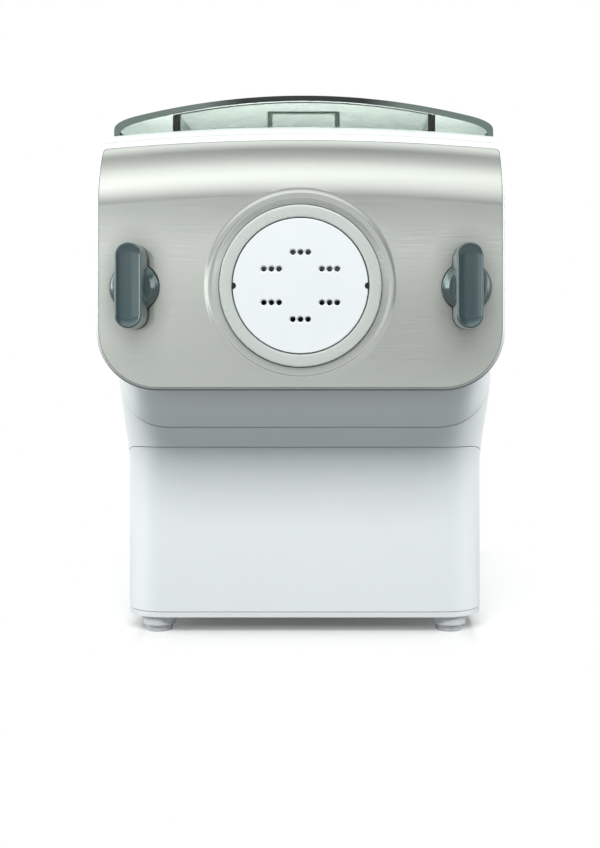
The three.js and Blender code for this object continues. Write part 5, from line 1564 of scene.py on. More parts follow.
@dataclass
class Casing:
    """The upper housing with its nose and hump, the flared base under it, and the base plate."""

    mixer: Mixer
    hump_y: float = 56.0
    hinge: Point = (46.0, 293.0)
    barrel: float = 5.0
    pin_bore: float = 2.3
    pin_half: float = 38.3
    bracket: Point = (13.0, 22.0)
    rib_inset: float = 15.0
    lock_bore: float = 9.5
    lock_rim: float = 11.2
    lock_deep: float = 14.0
    door_gap: float = 0.8
    well_half: float = 75.2
    well_ys: Point = (-101.3, 41.5)
    flare: Point = (92.0, 146.0)
    cheek_z: float = 144.0
    base_z: float = 12.3
    drawer_top: float = 104.5
    drawer_depth: float = 24.0
    drawer_half: float = 102.5
    drawer_corner: float = 7.5
    post_x: float = 88.0
    post_ys: Point = (-69.5, 149.5)
    post_radius: float = 5.0
    screw_bore: float = 2.0
    screw_seat: float = 3.9
    seat_deep: float = 1.6
    plate_inset: float = 0.25
    plate_zs: Point = (9.0, 12.0)
    groove_half: Point = (60.0, 1.5)
    groove_ys: tuple[float, ...] = (-50.0, 0.0, 50.0, 100.0)
    groove_deep: float = 0.8
    past: float = 1.0
    foot_x: float = 82.6
    foot_ys: Point = (-93.5, 139.5)
    control: Point = (98.0, 213.0)
    control_half: Point = (46.0, 27.0)
    control_corner: float = 6.3
    control_deep: float = 6.0
    studs: Point = (35.0, 34.7)
    stud_radius: float = 3.0
    stud_long: float = 16.7

    def outside(self) -> Solid:
        """Shapes the housing as a full block: body, nose and hump.

        Returns:
            The solid.
        """
        body = Solid.drawn(L.housing(), Axis.Y, L.body_y, L.rear_seam_y) & L.plan()
        nose = Solid.drawn(L.nose(), Axis.Y, L.nose_y, L.body_y + L.plan_corner + L.wall) & L.side()
        hump = Solid.drawn(L.lid(0, L.below_deck(L.wall)), Axis.Y, self.hump_y, L.rear_seam_y) & L.plan()
        return (body | nose) | hump

    def inside(self) -> Solid:
        """Shapes the hollow of the housing.

        Returns:
            The solid.
        """
        wall = L.wall
        body = Solid.drawn(L.housing(wall), Axis.Y, L.body_y + wall, L.rear_y)
        hump = Solid.drawn(L.lid(wall, L.below_deck(3 * wall)), Axis.Y, self.hump_y + wall, L.rear_y)
        nose = Solid.drawn(L.nose(wall), Axis.Y, L.nose_y + wall, L.body_y + L.plan_corner + 2 * wall)
        return ((body | hump) & L.plan(wall)) | (nose & L.side(wall))

    def rib(self, y: float) -> Solid:
        """Shapes a rib that cradles the mixing chamber.

        Args:
            y: Its place along the machine.

        Returns:
            The solid.
        """
        rib = Solid.drawn(L.housing(L.wall / 2), Axis.Y, y - L.wall / 2, y + L.wall / 2)
        bed = Solid.drawn(self.mixer.outline(-L.gap, L.deck_z + L.over), Axis.Y, y - L.wall, y + L.wall)
        above = Solid.block((-L.wide, y - L.wall, L.axis_z), (L.wide, y + L.wall, L.tall))
        return rib - bed - above

    def brackets(self) -> Solid:
        """Shapes the two brackets that hold the lid's hinge pin.

        Returns:
            The solid.
        """
        (y, z), (start, end) = self.hinge, self.bracket
        barrel = Solid.turned(rod(self.barrel, start, end, L.gap), Axis.X, self.hinge, 48)
        web = Solid.block((start, y, z - 2 * self.barrel), (end, self.hump_y + L.wall, z))
        bracket = barrel | web
        return bracket | bracket.mirrored()

    def housing(self) -> Solid:
        """Shapes the upper housing with every opening cut.

        Returns:
            The solid.
        """
        housing = self.outside() - self.inside()
        socket = ring(self.lock_bore, self.lock_rim, L.nose_y, L.nose_y + self.lock_deep)
        for knob in KNOBS:
            housing = housing | Solid.turned(socket, Axis.Y, knob, 48)
        stud = rod(self.stud_radius, L.housing_half - self.stud_long, L.housing_half - L.wall / 2)
        for across in (-self.studs[0], self.studs[0]):
            for up in (-self.studs[1], self.studs[1]):
                place = (self.control[0] + across, self.control[1] + up)
                housing = housing | Solid.turned(stud, Axis.X, place, 24)
        for y in (self.mixer.front + self.rib_inset, self.mixer.rear - self.rib_inset):
            housing = housing | self.rib(y)
        housing = housing | self.brackets()
        front, back = L.nose_y - L.over, L.nose_y + L.over
        door = self.mixer.outline(-self.door_gap, self.mixer.top + self.door_gap)
        housing = housing - Solid.drawn(door, Axis.Y, front, back)
        start, end = self.well_ys
        well = Solid.block((-self.well_half, start, self.mixer.top), (self.well_half, end, L.lid_z))
        housing = housing - well
        for knob in KNOBS:
            housing = housing - Solid.turned(rod(self.lock_bore, front, back), Axis.Y, knob, 48)
        half = (self.control_half[0] + L.gap, self.control_half[1] + L.gap)
        hole = rounded(self.control, half, self.control_corner, 10)
        inner, outer = L.housing_half - self.control_deep, L.housing_half + L.over
        housing = housing - Solid.drawn(hole, Axis.X, inner, outer)
        pin = rod(self.pin_bore, -self.pin_half, self.pin_half)
        return housing - Solid.turned(pin, Axis.X, self.hinge, 32)

    def half_at(self, z: float) -> float:
        """Returns half the base's width at a height."""
        low, high = self.flare
        return mix(L.base_half, L.housing_half, eased((z - low) / (high - low)))

    def blank(self, inset: float, bottom: float, top: float) -> Solid:
        """Shapes the flared base as a full block, drawn in by an inset.

        Args:
            inset: How far it is drawn in.
            bottom: Its lowest height.
            top: Its greatest height.

        Returns:
            The solid.
        """
        steps = [mix(*self.flare, step / 18) for step in range(19)]
        heights = [bottom] + [z for z in steps if bottom + L.gap < z < top - L.gap] + [top]
        rings = []
        for z in heights:
            half, corner = self.half_at(z) - inset, L.plan_corner - inset
            outline = L.plan_ring(half, L.body_y + inset, L.base_rear_y - inset, corner)
            rings.append([(x, y, z) for x, y in outline])
        return Solid.lofted(rings)

    def drawer_view(self, grow: float) -> list[Point]:
        """Draws the drawer's front view, with round upper corners.

        Args:
            grow: How far it is drawn out.

        Returns:
            The outline.
        """
        half, top, corner = self.drawer_half + grow, self.drawer_top + grow, self.drawer_corner + grow
        pen = Pen(12).line(-half, -L.over).line(half, -L.over)
        pen.arc((half - corner, top - corner), corner, 0, QUARTER)
        return pen.arc((-half + corner, top - corner), corner, QUARTER, math.pi).closed()

    def base(self) -> Solid:
        """Shapes the lower base: cheeks, front bridge over the drawer, and screw posts.

        Returns:
            The solid.
        """
        ceiling = L.housing_bottom - L.wall
        base = self.blank(0, self.base_z, self.cheek_z) - self.blank(L.wall, -L.over, ceiling)
        for x in (-self.post_x, self.post_x):
            for y in self.post_ys:
                post = ring(self.screw_bore, self.post_radius, self.base_z, ceiling + L.wall / 2)
                base = base | Solid.turned(post, Axis.Z, (x, y), 24)
        saddle = Solid.drawn(L.housing(-L.gap), Axis.Y, L.body_y - L.over, L.base_rear_y + L.over)
        back = L.body_y + self.drawer_depth + L.gap
        way = Solid.drawn(self.drawer_view(L.gap), Axis.Y, L.body_y - L.over, back)
        return base - saddle - way

    def plate(self) -> Solid:
        """Shapes the base plate with its screw holes and shallow grooves across its underside.

        Returns:
            The solid.
        """
        inset, (low, high), (long, wide) = self.plate_inset, self.plate_zs, self.groove_half
        corner = L.plan_corner - inset
        outline = L.plan_ring(L.base_half - inset, L.body_y + inset, L.base_rear_y - inset, corner)
        plate = Solid.drawn(outline, Axis.Z, low, high)
        start, end = low - self.past, high + self.past
        for y in self.groove_ys:
            groove = Solid.block((-long, y - wide, start), (long, y + wide, low + self.groove_deep))
            plate = plate - groove
        seat = low + self.seat_deep
        hole = [(0, start), (self.screw_seat, start), (self.screw_seat, seat)]
        hole += [(self.screw_bore, seat), (self.screw_bore, end), (0, end)]
        for x in (-self.post_x, self.post_x):
            for y in self.post_ys:
                plate = plate - Solid.turned(hole, Axis.Z, (x, y), 24)
        return plate

    def build(self) -> None:
        """Builds and shows the housing, the base and the plate, and dresses the screws."""
        housing = Piece("housing", Finishes.casing, "root", ("upper_housing",), edge=0.35)
        housing.show(self.housing())
        Piece("base", Finishes.casing, "root", ("lower_base",), edge=0.35).show(self.base())
        plate = Piece("underside_plate", Finishes.casing, "root", ("base_plate",), "white_matte", 0.5)
        plate.show(self.plate())
        dress([f"base_screw_{number}" for number in range(1, 5)], Finishes.steel, 0.2)
        dress(["bulkhead"], Finishes.inner_white, 0.3)


@dataclass
class Foot:
    """A milky foot in two steps, with a soft rim and a ring under it."""

    name: str
    x: float
    y: float
    lower: float = 7.5
    upper: float = 9.5
    step_z: float = 3.6
    top: float = 8.7
    dimple: tuple[Point, ...] = ((0.0, 0.5), (4.6, 0.5), (5.0, 0.0))
    lower_edge: tuple[Point, ...] = ((0.8, 0.0), (0.2, 0.3), (0.0, 1.0))
    upper_edge: tuple[Point, ...] = ((0.6, 0.0), (0.1, 0.3), (0.0, 0.8))

    def build(self) -> None:
        """Builds and shows the foot."""
        profile = [*self.dimple] + [(self.lower - inward, rise) for inward, rise in self.lower_edge]
        profile.append((self.lower, self.step_z))
        profile += [(self.upper - inward, self.step_z + rise) for inward, rise in self.upper_edge]
        profile += [(self.upper, self.top), (0, self.top)]
        foot = Solid.turned(profile, Axis.Z, (self.x, self.y), 64)
        piece = Piece(f"{self.name}_pad", Finishes.milky, "root", (self.name,), "rubber_white", 0.0)
        piece.show(foot)


@dataclass
class Drawer:
    """The storage drawer: a hollow front, an open tray and the two spare discs in it."""

    casing: Casing
    tray_half: float = 82.0
    tray_rear: float = 66.1
    tray_top: float = 82.0
    tray_wall: float = 2.2
    tray_corner: float = 3.0
    tray_sunk: float = 3.3
    disc_radius: float = 35.0
    disc_depth: float = 6.2
    disc_edge: float = 0.5
    disc_band: Point = (5.0, 5.6)
    disc_ys: Point = (-43.6, 27.5)
    disc_z: float = 14.8
    slot_half: Point = (17.6, 1.45)
    slot_corner: float = 1.4
    past: float = 2.0

    def front(self) -> Solid:
        """Shapes the drawer's front, which wraps both corners of the base.

        Returns:
            The solid.
        """
        low, top = self.casing.base_z, self.casing.drawer_top
        start, rear = L.body_y - L.over, L.body_y + self.casing.drawer_depth
        slab = Solid.block((-L.wide, start, low), (L.wide, rear, top))
        view = Solid.drawn(self.casing.drawer_view(0), Axis.Y, start, L.base_rear_y)
        blank = (self.casing.blank(0, low, self.casing.cheek_z) & slab) & view
        return blank - self.casing.blank(L.wall, low + L.wall, top - L.wall)

    def tray(self) -> Solid:
        """Shapes the open tray, with a plate that links it to the drawer's front.

        Returns:
            The solid.
        """
        seam, wall = L.body_y + self.casing.drawer_depth, self.tray_wall
        half, rear, top = self.tray_half, self.tray_rear, self.tray_top
        floor, low = self.casing.base_z, self.casing.base_z + self.tray_sunk
        slab = Solid.block((-L.wide, seam - wall, low), (L.wide, seam, self.casing.drawer_top))
        plate = self.casing.blank(L.wall + L.gap, low, self.casing.drawer_top - self.tray_sunk) & slab
        box = Solid.block((-half, seam + L.gap, floor), (half, rear, top))
        link = Solid.block((-half, seam - wall, low), (half, seam + wall, top))
        middle, room = (0, (seam + rear) / 2), (half - wall, (rear - seam) / 2 - wall)
        view = rounded(middle, room, self.tray_corner)
        hollow = Solid.drawn(view, Axis.Z, floor + wall, top + L.over)
        return ((plate | link) | box) - hollow

    def spare(self, y: float, slots: int) -> Solid:
        """Shapes a spare disc with rows of rounded slots.

        Args:
            y: The disc's place along the machine.
            slots: How many slots it has.

        Returns:
            The solid.
        """
        low, high, rim, edge = self.disc_z, self.disc_z + self.disc_depth, self.disc_radius, self.disc_edge
        outer, inner = self.disc_band
        profile = [(0, low), (rim - edge, low), (rim, low + edge), (rim, high - edge), (rim - edge, high)]
        profile += [(rim - outer, high), (rim - inner, high - edge), (0, high - edge)]
        disc = Solid.turned(profile, Axis.Z, (0, y), 96)
        for slot in range(slots):
            middle = y + (slot - (slots - 1) / 2) * 2 * self.slot_half[0] / slots
            hole = rounded((0, middle), self.slot_half, self.slot_corner)
            disc = disc - Solid.drawn(hole, Axis.Z, low - self.past, high + self.past)
        return disc

    def build(self) -> None:
        """Builds and shows the front, the tray and the spare discs."""
        Piece("drawer_face", Finishes.casing, "drawer", ("drawer_front",), edge=0.35).show(self.front())
        tray = Piece("tray", Finishes.frost, "drawer", ("drawer_tray",), "clear_plastic")
        tray.show(self.tray())
        for y, slots, name in zip(self.disc_ys, (4, 6), ("lasagne", "tagliatelle")):
            node = f"spare_disc_{name}"
            piece = Piece(f"{name}_disc", Finishes.disc, "drawer", (node,), "white_matte", 0.0)
            piece.show(self.spare(y, slots))


@dataclass
class Lid:
    """The smoked lid, the frame inside it that closes on the chamber, and its catch."""

    hinge: Point
    front: float = -105.2
    rear: float = 44.0
    wall: float = 1.9
    rim_depth: float = 1.6
    rim_lip: float = 0.2
    lip_ahead: float = 0.6
    lip_deep: float = 3.0
    lap: float = 0.05
    barrel: float = 5.0
    pin_bore: float = 2.3
    pin_half: float = 40.0
    notch: Point = (12.7, 22.3)
    notch_room: float = 5.6
    notch_back: float = 10.0
    notch_deep: float = 15.0
    frame_half: float = 74.4
    frame_wall: float = 3.9
    frame_front: float = -98.0
    frame_rear: float = 37.8
    frame_low: float = 270.6
    frame_top: float = 2.05
    catch_half: float = 20.4
    catch_top: float = 292.8
    catch_lift: float = 0.6
    catch_depth: float = 2.2
    catch_corner: float = 1.2
    catch_sides: float = 3.0
    catch_bar: float = 1.5
    spans: tuple[Point, ...] = ((-12.7, 12.7), (22.3, 38.3), (-38.3, -22.3))

    def rim_room(self) -> Solid:
        """Shapes the room along the shell's front edge that its rim takes, with half a gap to spare.

        Returns:
            The solid.
        """
        spare = L.gap / 2
        front, back = self.front - L.over, self.front + self.rim_depth + spare
        room = Solid.drawn(L.lid(-L.over), Axis.Y, front, back)
        inner = L.lid(self.wall + self.rim_lip + spare, L.below_deck(L.over))
        return room - Solid.drawn(inner, Axis.Y, front - L.over, back + L.over)

    def rim(self) -> Solid:
        """Shapes the rim, with a lip ahead of the shell that covers the sheet's edge.

        Returns:
            The solid.
        """
        ahead, back, low = self.front - self.lip_ahead, self.front + self.rim_depth, L.below_deck(L.over)
        rim = Solid.drawn(L.lid(), Axis.Y, ahead, back)
        rim = rim - Solid.drawn(L.lid(self.lip_deep, low), Axis.Y, ahead - L.over, back + L.over)
        behind = L.lid(self.wall + self.rim_lip, low)
        return rim - Solid.drawn(behind, Axis.Y, self.front - self.lap, back + L.over)

    def shell(self) -> Solid:
        """Shapes the arched shell with its hinge barrels.

        Returns:
            The solid.
        """
        outside = Solid.drawn(L.lid(), Axis.Y, self.front, self.rear)
        hollow = L.lid(self.wall, L.below_deck(L.over))
        shell = outside - Solid.drawn(hollow, Axis.Y, self.front + self.wall, self.rear - self.wall)
        shell = shell - self.rim_room()
        for start, end in self.spans:
            shell = shell | Solid.turned(rod(self.barrel, start, end, L.gap), Axis.X, self.hinge, 48)
        (y, z), (near, far), room = self.hinge, self.notch, self.notch_room
        notch = Solid.block((near, y - room, z - self.notch_deep), (far, y + self.notch_back, z + room))
        shell = shell - notch - notch.mirrored()
        pin = rod(self.pin_bore, -self.pin_half, self.pin_half)
        return shell - Solid.turned(pin, Axis.X, self.hinge, 32)

    def frame(self) -> Solid:
        """Shapes the frame that stands in the lid and closes on the chamber's rim.

        Returns:
            The solid.
        """
        half, wall, low = self.frame_half, self.frame_wall, self.frame_low
        front, rear = self.frame_front, self.frame_rear
        under = Solid.drawn(L.lid(self.frame_top, low), Axis.Y, front, rear)
        outer = Solid.block((-half, front - L.wall, low), (half, rear + L.wall, L.lid_z))
        inner_low = (-half + wall, front + wall, low - L.over)
        inner = Solid.block(inner_low, (half - wall, rear - wall, L.lid_z + L.over))
        return (under & outer) - inner

    def catch(self) -> Solid:
        """Shapes the catch: an upright frame on the lid's front edge, open below.

        Returns:
            The solid.
        """
        low, top, back = L.deck_z + self.catch_lift, self.catch_top, self.front - L.gap
        view = rounded((0, (low + top) / 2), (self.catch_half, (top - low) / 2), self.catch_corner)
        frame = Solid.drawn(view, Axis.Y, back - self.catch_depth, back)
        side, bar = self.catch_half - self.catch_sides, top - self.catch_bar
        return frame - Solid.block((-side, back - L.over, low - L.over), (side, back + L.over, bar))

    def build(self) -> None:
        """Builds and shows the lid's pieces, and dresses its pin."""
        shell = Piece("lid_shell", Finishes.smoke, "lid", ("lid",), "smoky_clear", 0.3)
        shell.show(self.shell())
        # the rim's dark colour and its darker middle are painted shade along the lid's front edge
        Piece("lid_rim", Finishes.smoke_rim, "lid", (), "smoky_clear", 0.2).show(self.rim())
        inner = Piece("lid_inner_frame", Finishes.smoke_frame, "lid", ("lid_frame",), "smoky_clear", 0.3)
        inner.show(self.frame())
        catch = Piece("lid_front_catch", Finishes.smoke_catch, "lid", ("lid_catch",), "smoky_clear", 0.6,
                      edge_steps=3)
        catch.show(self.catch())
        dress(["lid_hinge_pin"], Finishes.steel, 0.3)


# Rear and right-hand side


@dataclass
class Rear:
    """The rear cover with its vents, the power inlet and the rocker switch."""

    vents: int = 9
    vent_half: Point = (32.0, 1.5)
    vent_corner: float = 1.45
    vent_pitch: float = 8.0
    past: float = 3.0
    inlet: Point = (-62.0, 150.0)
    inlet_half: Point = (14.0, 10.0)
    inlet_ys: Point = (152.0, 170.75)
    inlet_rim: float = 2.5
    inlet_rim_ys: Point = (170.3, 171.5)
    socket_wall: float = 2.5
    socket_cut: float = 3.5
    socket_floor: float = 157.0
    pins: tuple[Point, ...] = ((-7.0, -1.0), (0.0, 1.5), (7.0, -1.0))
    pin_half: Point = (1.0, 1.9)
    pin_ys: Point = (156.5, 165.5)
    switch: Point = (-62.0, 188.0)
    switch_half: Point = (7.0, 11.2)
    screws: tuple[Point, ...] = ((-88, 150), (88, 150), (-90, 262), (90, 262))
    screw_seat: float = 4.2
    seat_deep: float = 1.2
    head: tuple[Point, ...] = ((0.0, 1.5), (3.4, 1.5), (3.4, 0.7), (2.6, 0.3), (0.0, 0.1))
    cross: Point = (1.9, 0.35)
    cross_deep: float = 0.8

    def cover(self) -> Solid:
        """Shapes the cover with vent slots, two windows and sunk screw seats.

        Returns:
            The solid.
        """
        front, back = L.rear_seam_y + L.gap, L.rear_y
        low = Solid.drawn(L.housing(), Axis.Y, front, back)
        high = Solid.drawn(L.lid(0, L.below_deck(L.wall)), Axis.Y, front, back)
        cover = (low | high) & L.plan()
        windows = []
        for slot in range(self.vents):
            z = L.axis_z + (slot - (self.vents - 1) / 2) * self.vent_pitch
            windows.append(rounded((0, z), self.vent_half, self.vent_corner, 6))
        windows.append(rounded(self.inlet, (self.inlet_half[0] + L.gap, self.inlet_half[1] + L.gap), 1.0, 4))
        windows.append(rounded(self.switch, self.switch_half, 0.8, 4))
        for window in windows:
            cover = cover - Solid.drawn(window, Axis.Y, front - self.past, back + self.past)
        seat = rod(self.screw_seat, back - self.seat_deep, back + self.past)
        for centre in self.screws:
            cover = cover - Solid.turned(seat, Axis.Y, centre, 32)
        return cover

    def socket(self) -> Solid:
        """Shapes the inlet: a rimmed block with a six-sided socket and three pins.

        Returns:
            The solid.
        """
        x, z = self.inlet
        half, tall = self.inlet_half
        body = Solid.drawn(rounded(self.inlet, (half, tall), 0.8, 4), Axis.Y, *self.inlet_ys)
        rim = rounded(self.inlet, (half + self.inlet_rim, tall + self.inlet_rim), 2.0)
        body = body | Solid.drawn(rim, Axis.Y, *self.inlet_rim_ys)
        wide, high, cut = half - self.socket_wall, tall - self.socket_wall, self.socket_cut
        view = [(x - wide, z - high), (x + wide, z - high), (x + wide, z + high - cut)]
        view += [(x + wide - cut, z + high), (x - wide + cut, z + high), (x - wide, z + high - cut)]
        socket = body - Solid.drawn(view, Axis.Y, self.socket_floor, self.inlet_rim_ys[1] + L.over)
        for across, up in self.pins:
            pin = rounded((x + across, z + up), self.pin_half, 0.5, 3)
            socket = socket | Solid.drawn(pin, Axis.Y, *self.pin_ys)
        return socket

    def screw_head(self, centre: Point) -> Solid:
        """Shapes a small domed screw head with a cross in it.

        Args:
            centre: Its place on the cover.

        Returns:
            The solid.
        """
        profile = [(radius, L.rear_y - depth) for radius, depth in self.head]
        head = Solid.turned(profile, Axis.Y, centre, 40)
        x, z = centre
        start, end = L.rear_y - self.cross_deep, L.rear_y + self.past
        for wide, tall in (self.cross, self.cross[::-1]):
            head = head - Solid.block((x - wide, start, z - tall), (x + wide, end, z + tall))
        return head

    def build(self) -> None:
        """Builds and shows the cover, the inlet and the screws, and dresses the rocker."""
        Piece("back_cover", Finishes.casing, "root", ("rear_cover",), edge=0.25).show(self.cover())
        inlet = Piece("inlet", Finishes.dark, "root", ("power_inlet",), "dark_plastic", 0.2)
        inlet.show(self.socket())
        for number, centre in enumerate(self.screws, 1):
            head = Piece(f"cover_screw_{number}", Finishes.steel, "root", (), "steel", 0.0)
            head.show(self.screw_head(centre))
        dress(["power_switch"], Finishes.dark, 0.35)


@dataclass
class Controls:
    """The control panel: a framed plate with a dark window and four soft keys."""

    centre: Point
    half: Point
    face: float = L.housing_half
    back: float = 103.6
    border: float = 1.6
    dish: float = 0.35
    flange: float = 3.0
    flange_xs: Point = (101.6, 103.7)
    past: float = 3.0
    window_z: float = 224.0
    window_half: Point = (24.0, 8.0)
    window_depths: Point = (1.2, 0.2)
    pocket: float = 1.5
    figure_ys: tuple[float, ...] = (-13.5, -5.5, 5.5, 13.5)
    figure_depths: Point = (0.25, 0.1)
    bar_half: Point = (1.7, 0.4)
    flat_bars: tuple[Point, ...] = ((0.0, 4.0), (0.0, -4.0))
    upright_bars: tuple[Point, ...] = ((2.2, 2.0), (2.2, -2.0), (-2.2, 2.0), (-2.2, -2.0))
    dots: Point = (-1.8, 1.8)
    key_z: float = 201.0
    key_pitch: float = 19.0
    key_radius: float = 5.4
    key_play: float = 0.5
    key_rise: float = 0.5
    key_foot: tuple[Point, ...] = ((0.0, 99.1), (6.6, 99.1), (6.6, 100.5))
    key_edge: tuple[Point, ...] = ((0.0, 0.5), (0.2, 0.15), (0.6, 0.0), (1.1, 0.05))
    key_dish: tuple[Point, ...] = ((2.6, 0.35), (0.0, 0.42))
    mark_rise: float = 8.6
    mark_depths: Point = (0.4, 0.15)
    loop: Point = (1.0, 1.5)
    stroke: Place = (0.25, 0.2, 1.9)
    tally: Place = (0.35, 1.2, 1.5)
    tally_rise: Place = (0.9, 1.0, 0.8)
    keys: tuple[str, ...] = ("start", "portion", "timer", "clean")

    def key_y(self, index: int) -> float:
        """Returns where a key lies along the machine."""
        return self.centre[0] + (index - (len(self.keys) - 1) / 2) * self.key_pitch

    def plate(self) -> Solid:
        """Shapes the plate with its flange, window pocket, key holes and a raised border.

        Returns:
            The solid.
        """
        (half_y, half_z), corner, end = self.half, 2 * self.flange, self.face + self.past
        plate = Solid.drawn(rounded(self.centre, self.half, corner, 10), Axis.X, self.back, self.face)
        dish = rounded(self.centre, (half_y - self.border, half_z - self.border), 4.6, 10)
        plate = plate - Solid.drawn(dish, Axis.X, self.face - self.dish, end)
        grown = (half_y + self.flange, half_z + self.flange)
        flange = Solid.drawn(rounded(self.centre, grown, corner + self.flange, 10), Axis.X, *self.flange_xs)
        plate = plate | flange
        window = (self.window_half[0] + L.gap, self.window_half[1] + L.gap)
        pocket = rounded((self.centre[0], self.window_z), window, 1.2, 6)
        plate = plate - Solid.drawn(pocket, Axis.X, self.face - self.pocket, end)
        hole = rod(self.key_radius + self.key_play, self.flange_xs[0] - self.past, end)
        for index in range(len(self.keys)):
            plate = plate - Solid.turned(hole, Axis.X, (self.key_y(index), self.key_z), 40)
        return plate

    def window(self) -> Solid:
        """Returns the window, with round corners."""
        outline = rounded((self.centre[0], self.window_z), self.window_half, 1.0, 6)
        return Solid.drawn(outline, Axis.X, *(self.face - depth for depth in self.window_depths))

    def figures(self) -> Solid:
        """Shapes four noughts in bars behind the window's face, with two dots between the pairs.

        Returns:
            The solid.
        """
        middle, z, (long, thin) = self.centre[0], self.window_z, self.bar_half
        low, high = (self.face - depth for depth in self.figure_depths)
        bars = []
        for place in self.figure_ys:
            bars += [(middle + place + y, z + up, long, thin) for y, up in self.flat_bars]
            bars += [(middle + place + y, z + up, thin, long) for y, up in self.upright_bars]
        bars += [(middle, z + up, thin, thin) for up in self.dots]
        return joined([Solid.block((low, y - w, z - h), (high, y + w, z + h)) for y, z, w, h in bars])

    def key(self, index: int) -> Solid:
        """Shapes a dished key with its flange.

        Args:
            index: The key's number, from 0.

        Returns:
            The solid.
        """
        top, radius = self.face + self.key_rise, self.key_radius
        profile = [*self.key_foot, (radius, self.key_foot[-1][1])]
        profile += [(radius - inward, top - fall) for inward, fall in self.key_edge]
        profile += [(out, top - fall) for out, fall in self.key_dish]
        return Solid.turned(profile, Axis.X, (self.key_y(index), self.key_z), 56)

    def mark(self, index: int) -> Solid:
        """Shapes the raised mark over a key: a ring with a stroke, or one, two or three rising bars.

        Args:
            index: The key's number, from 0.

        Returns:
            The solid.
        """
        y, z = self.key_y(index), self.key_z + self.mark_rise
        low, high = (self.face - depth for depth in self.mark_depths)
        if index == 0:
            half, foot, top = self.stroke
            loop = Solid.turned(ring(*self.loop, low, high), Axis.X, (y, z), 32)
            return loop | Solid.block((low, y - half, z + foot), (high, y + half, z + top))
        (half, pitch, start), (down, first, rise) = self.tally, self.tally_rise
        foot, bars = z - down, []
        for step in range(index):
            middle, top = y - start + pitch * step, foot + first + rise * step
            bars.append(Solid.block((low, middle - half, foot), (high, middle + half, top)))
        return joined(bars)

    def build(self) -> None:
        """Builds and shows the plate, the window, its figures and the keys."""
        plate = Piece("control_plate", Finishes.slate, "root", ("control_panel",), "knob_slate", 0.15)
        plate.show(self.plate())
        window = Piece("window", Finishes.window, "root", ("display_window",), "dark_plastic", 0.1)
        window.show(self.window())
        Piece("window_figures", Finishes.glow, "root", (), "key_grey", 0.0).show(self.figures())
        for index, key in enumerate(self.keys):
            piece = Piece(f"{key}_cap", Finishes.key, f"{key}_key", (f"{key}_button",), "key_grey", 0.0)
            piece.show(self.key(index))
            mark = Piece(f"{key}_mark", Finishes.key, "root", (), "key_grey", 0.0)
            mark.show(self.mark(index))
        dress(["circuit_board"], Finishes.board, 0.1)


def dress_drive() -> None:
    """Dresses the gear train and the motor inside the housing."""
    dress(["output_gear", "compound_gear"], Finishes.nylon, 0.15)
    dress(["compound_axle", "motor_can", "motor_rotor", "motor_pinion"], Finishes.steel, 0.2)
    dress(["motor_stator"], Finishes.copper, 0.5)
    dress(["gearbox_case", "motor_end_cap", "cooling_fan", "motor_mount"], Finishes.dark, 0.3)


# Studio


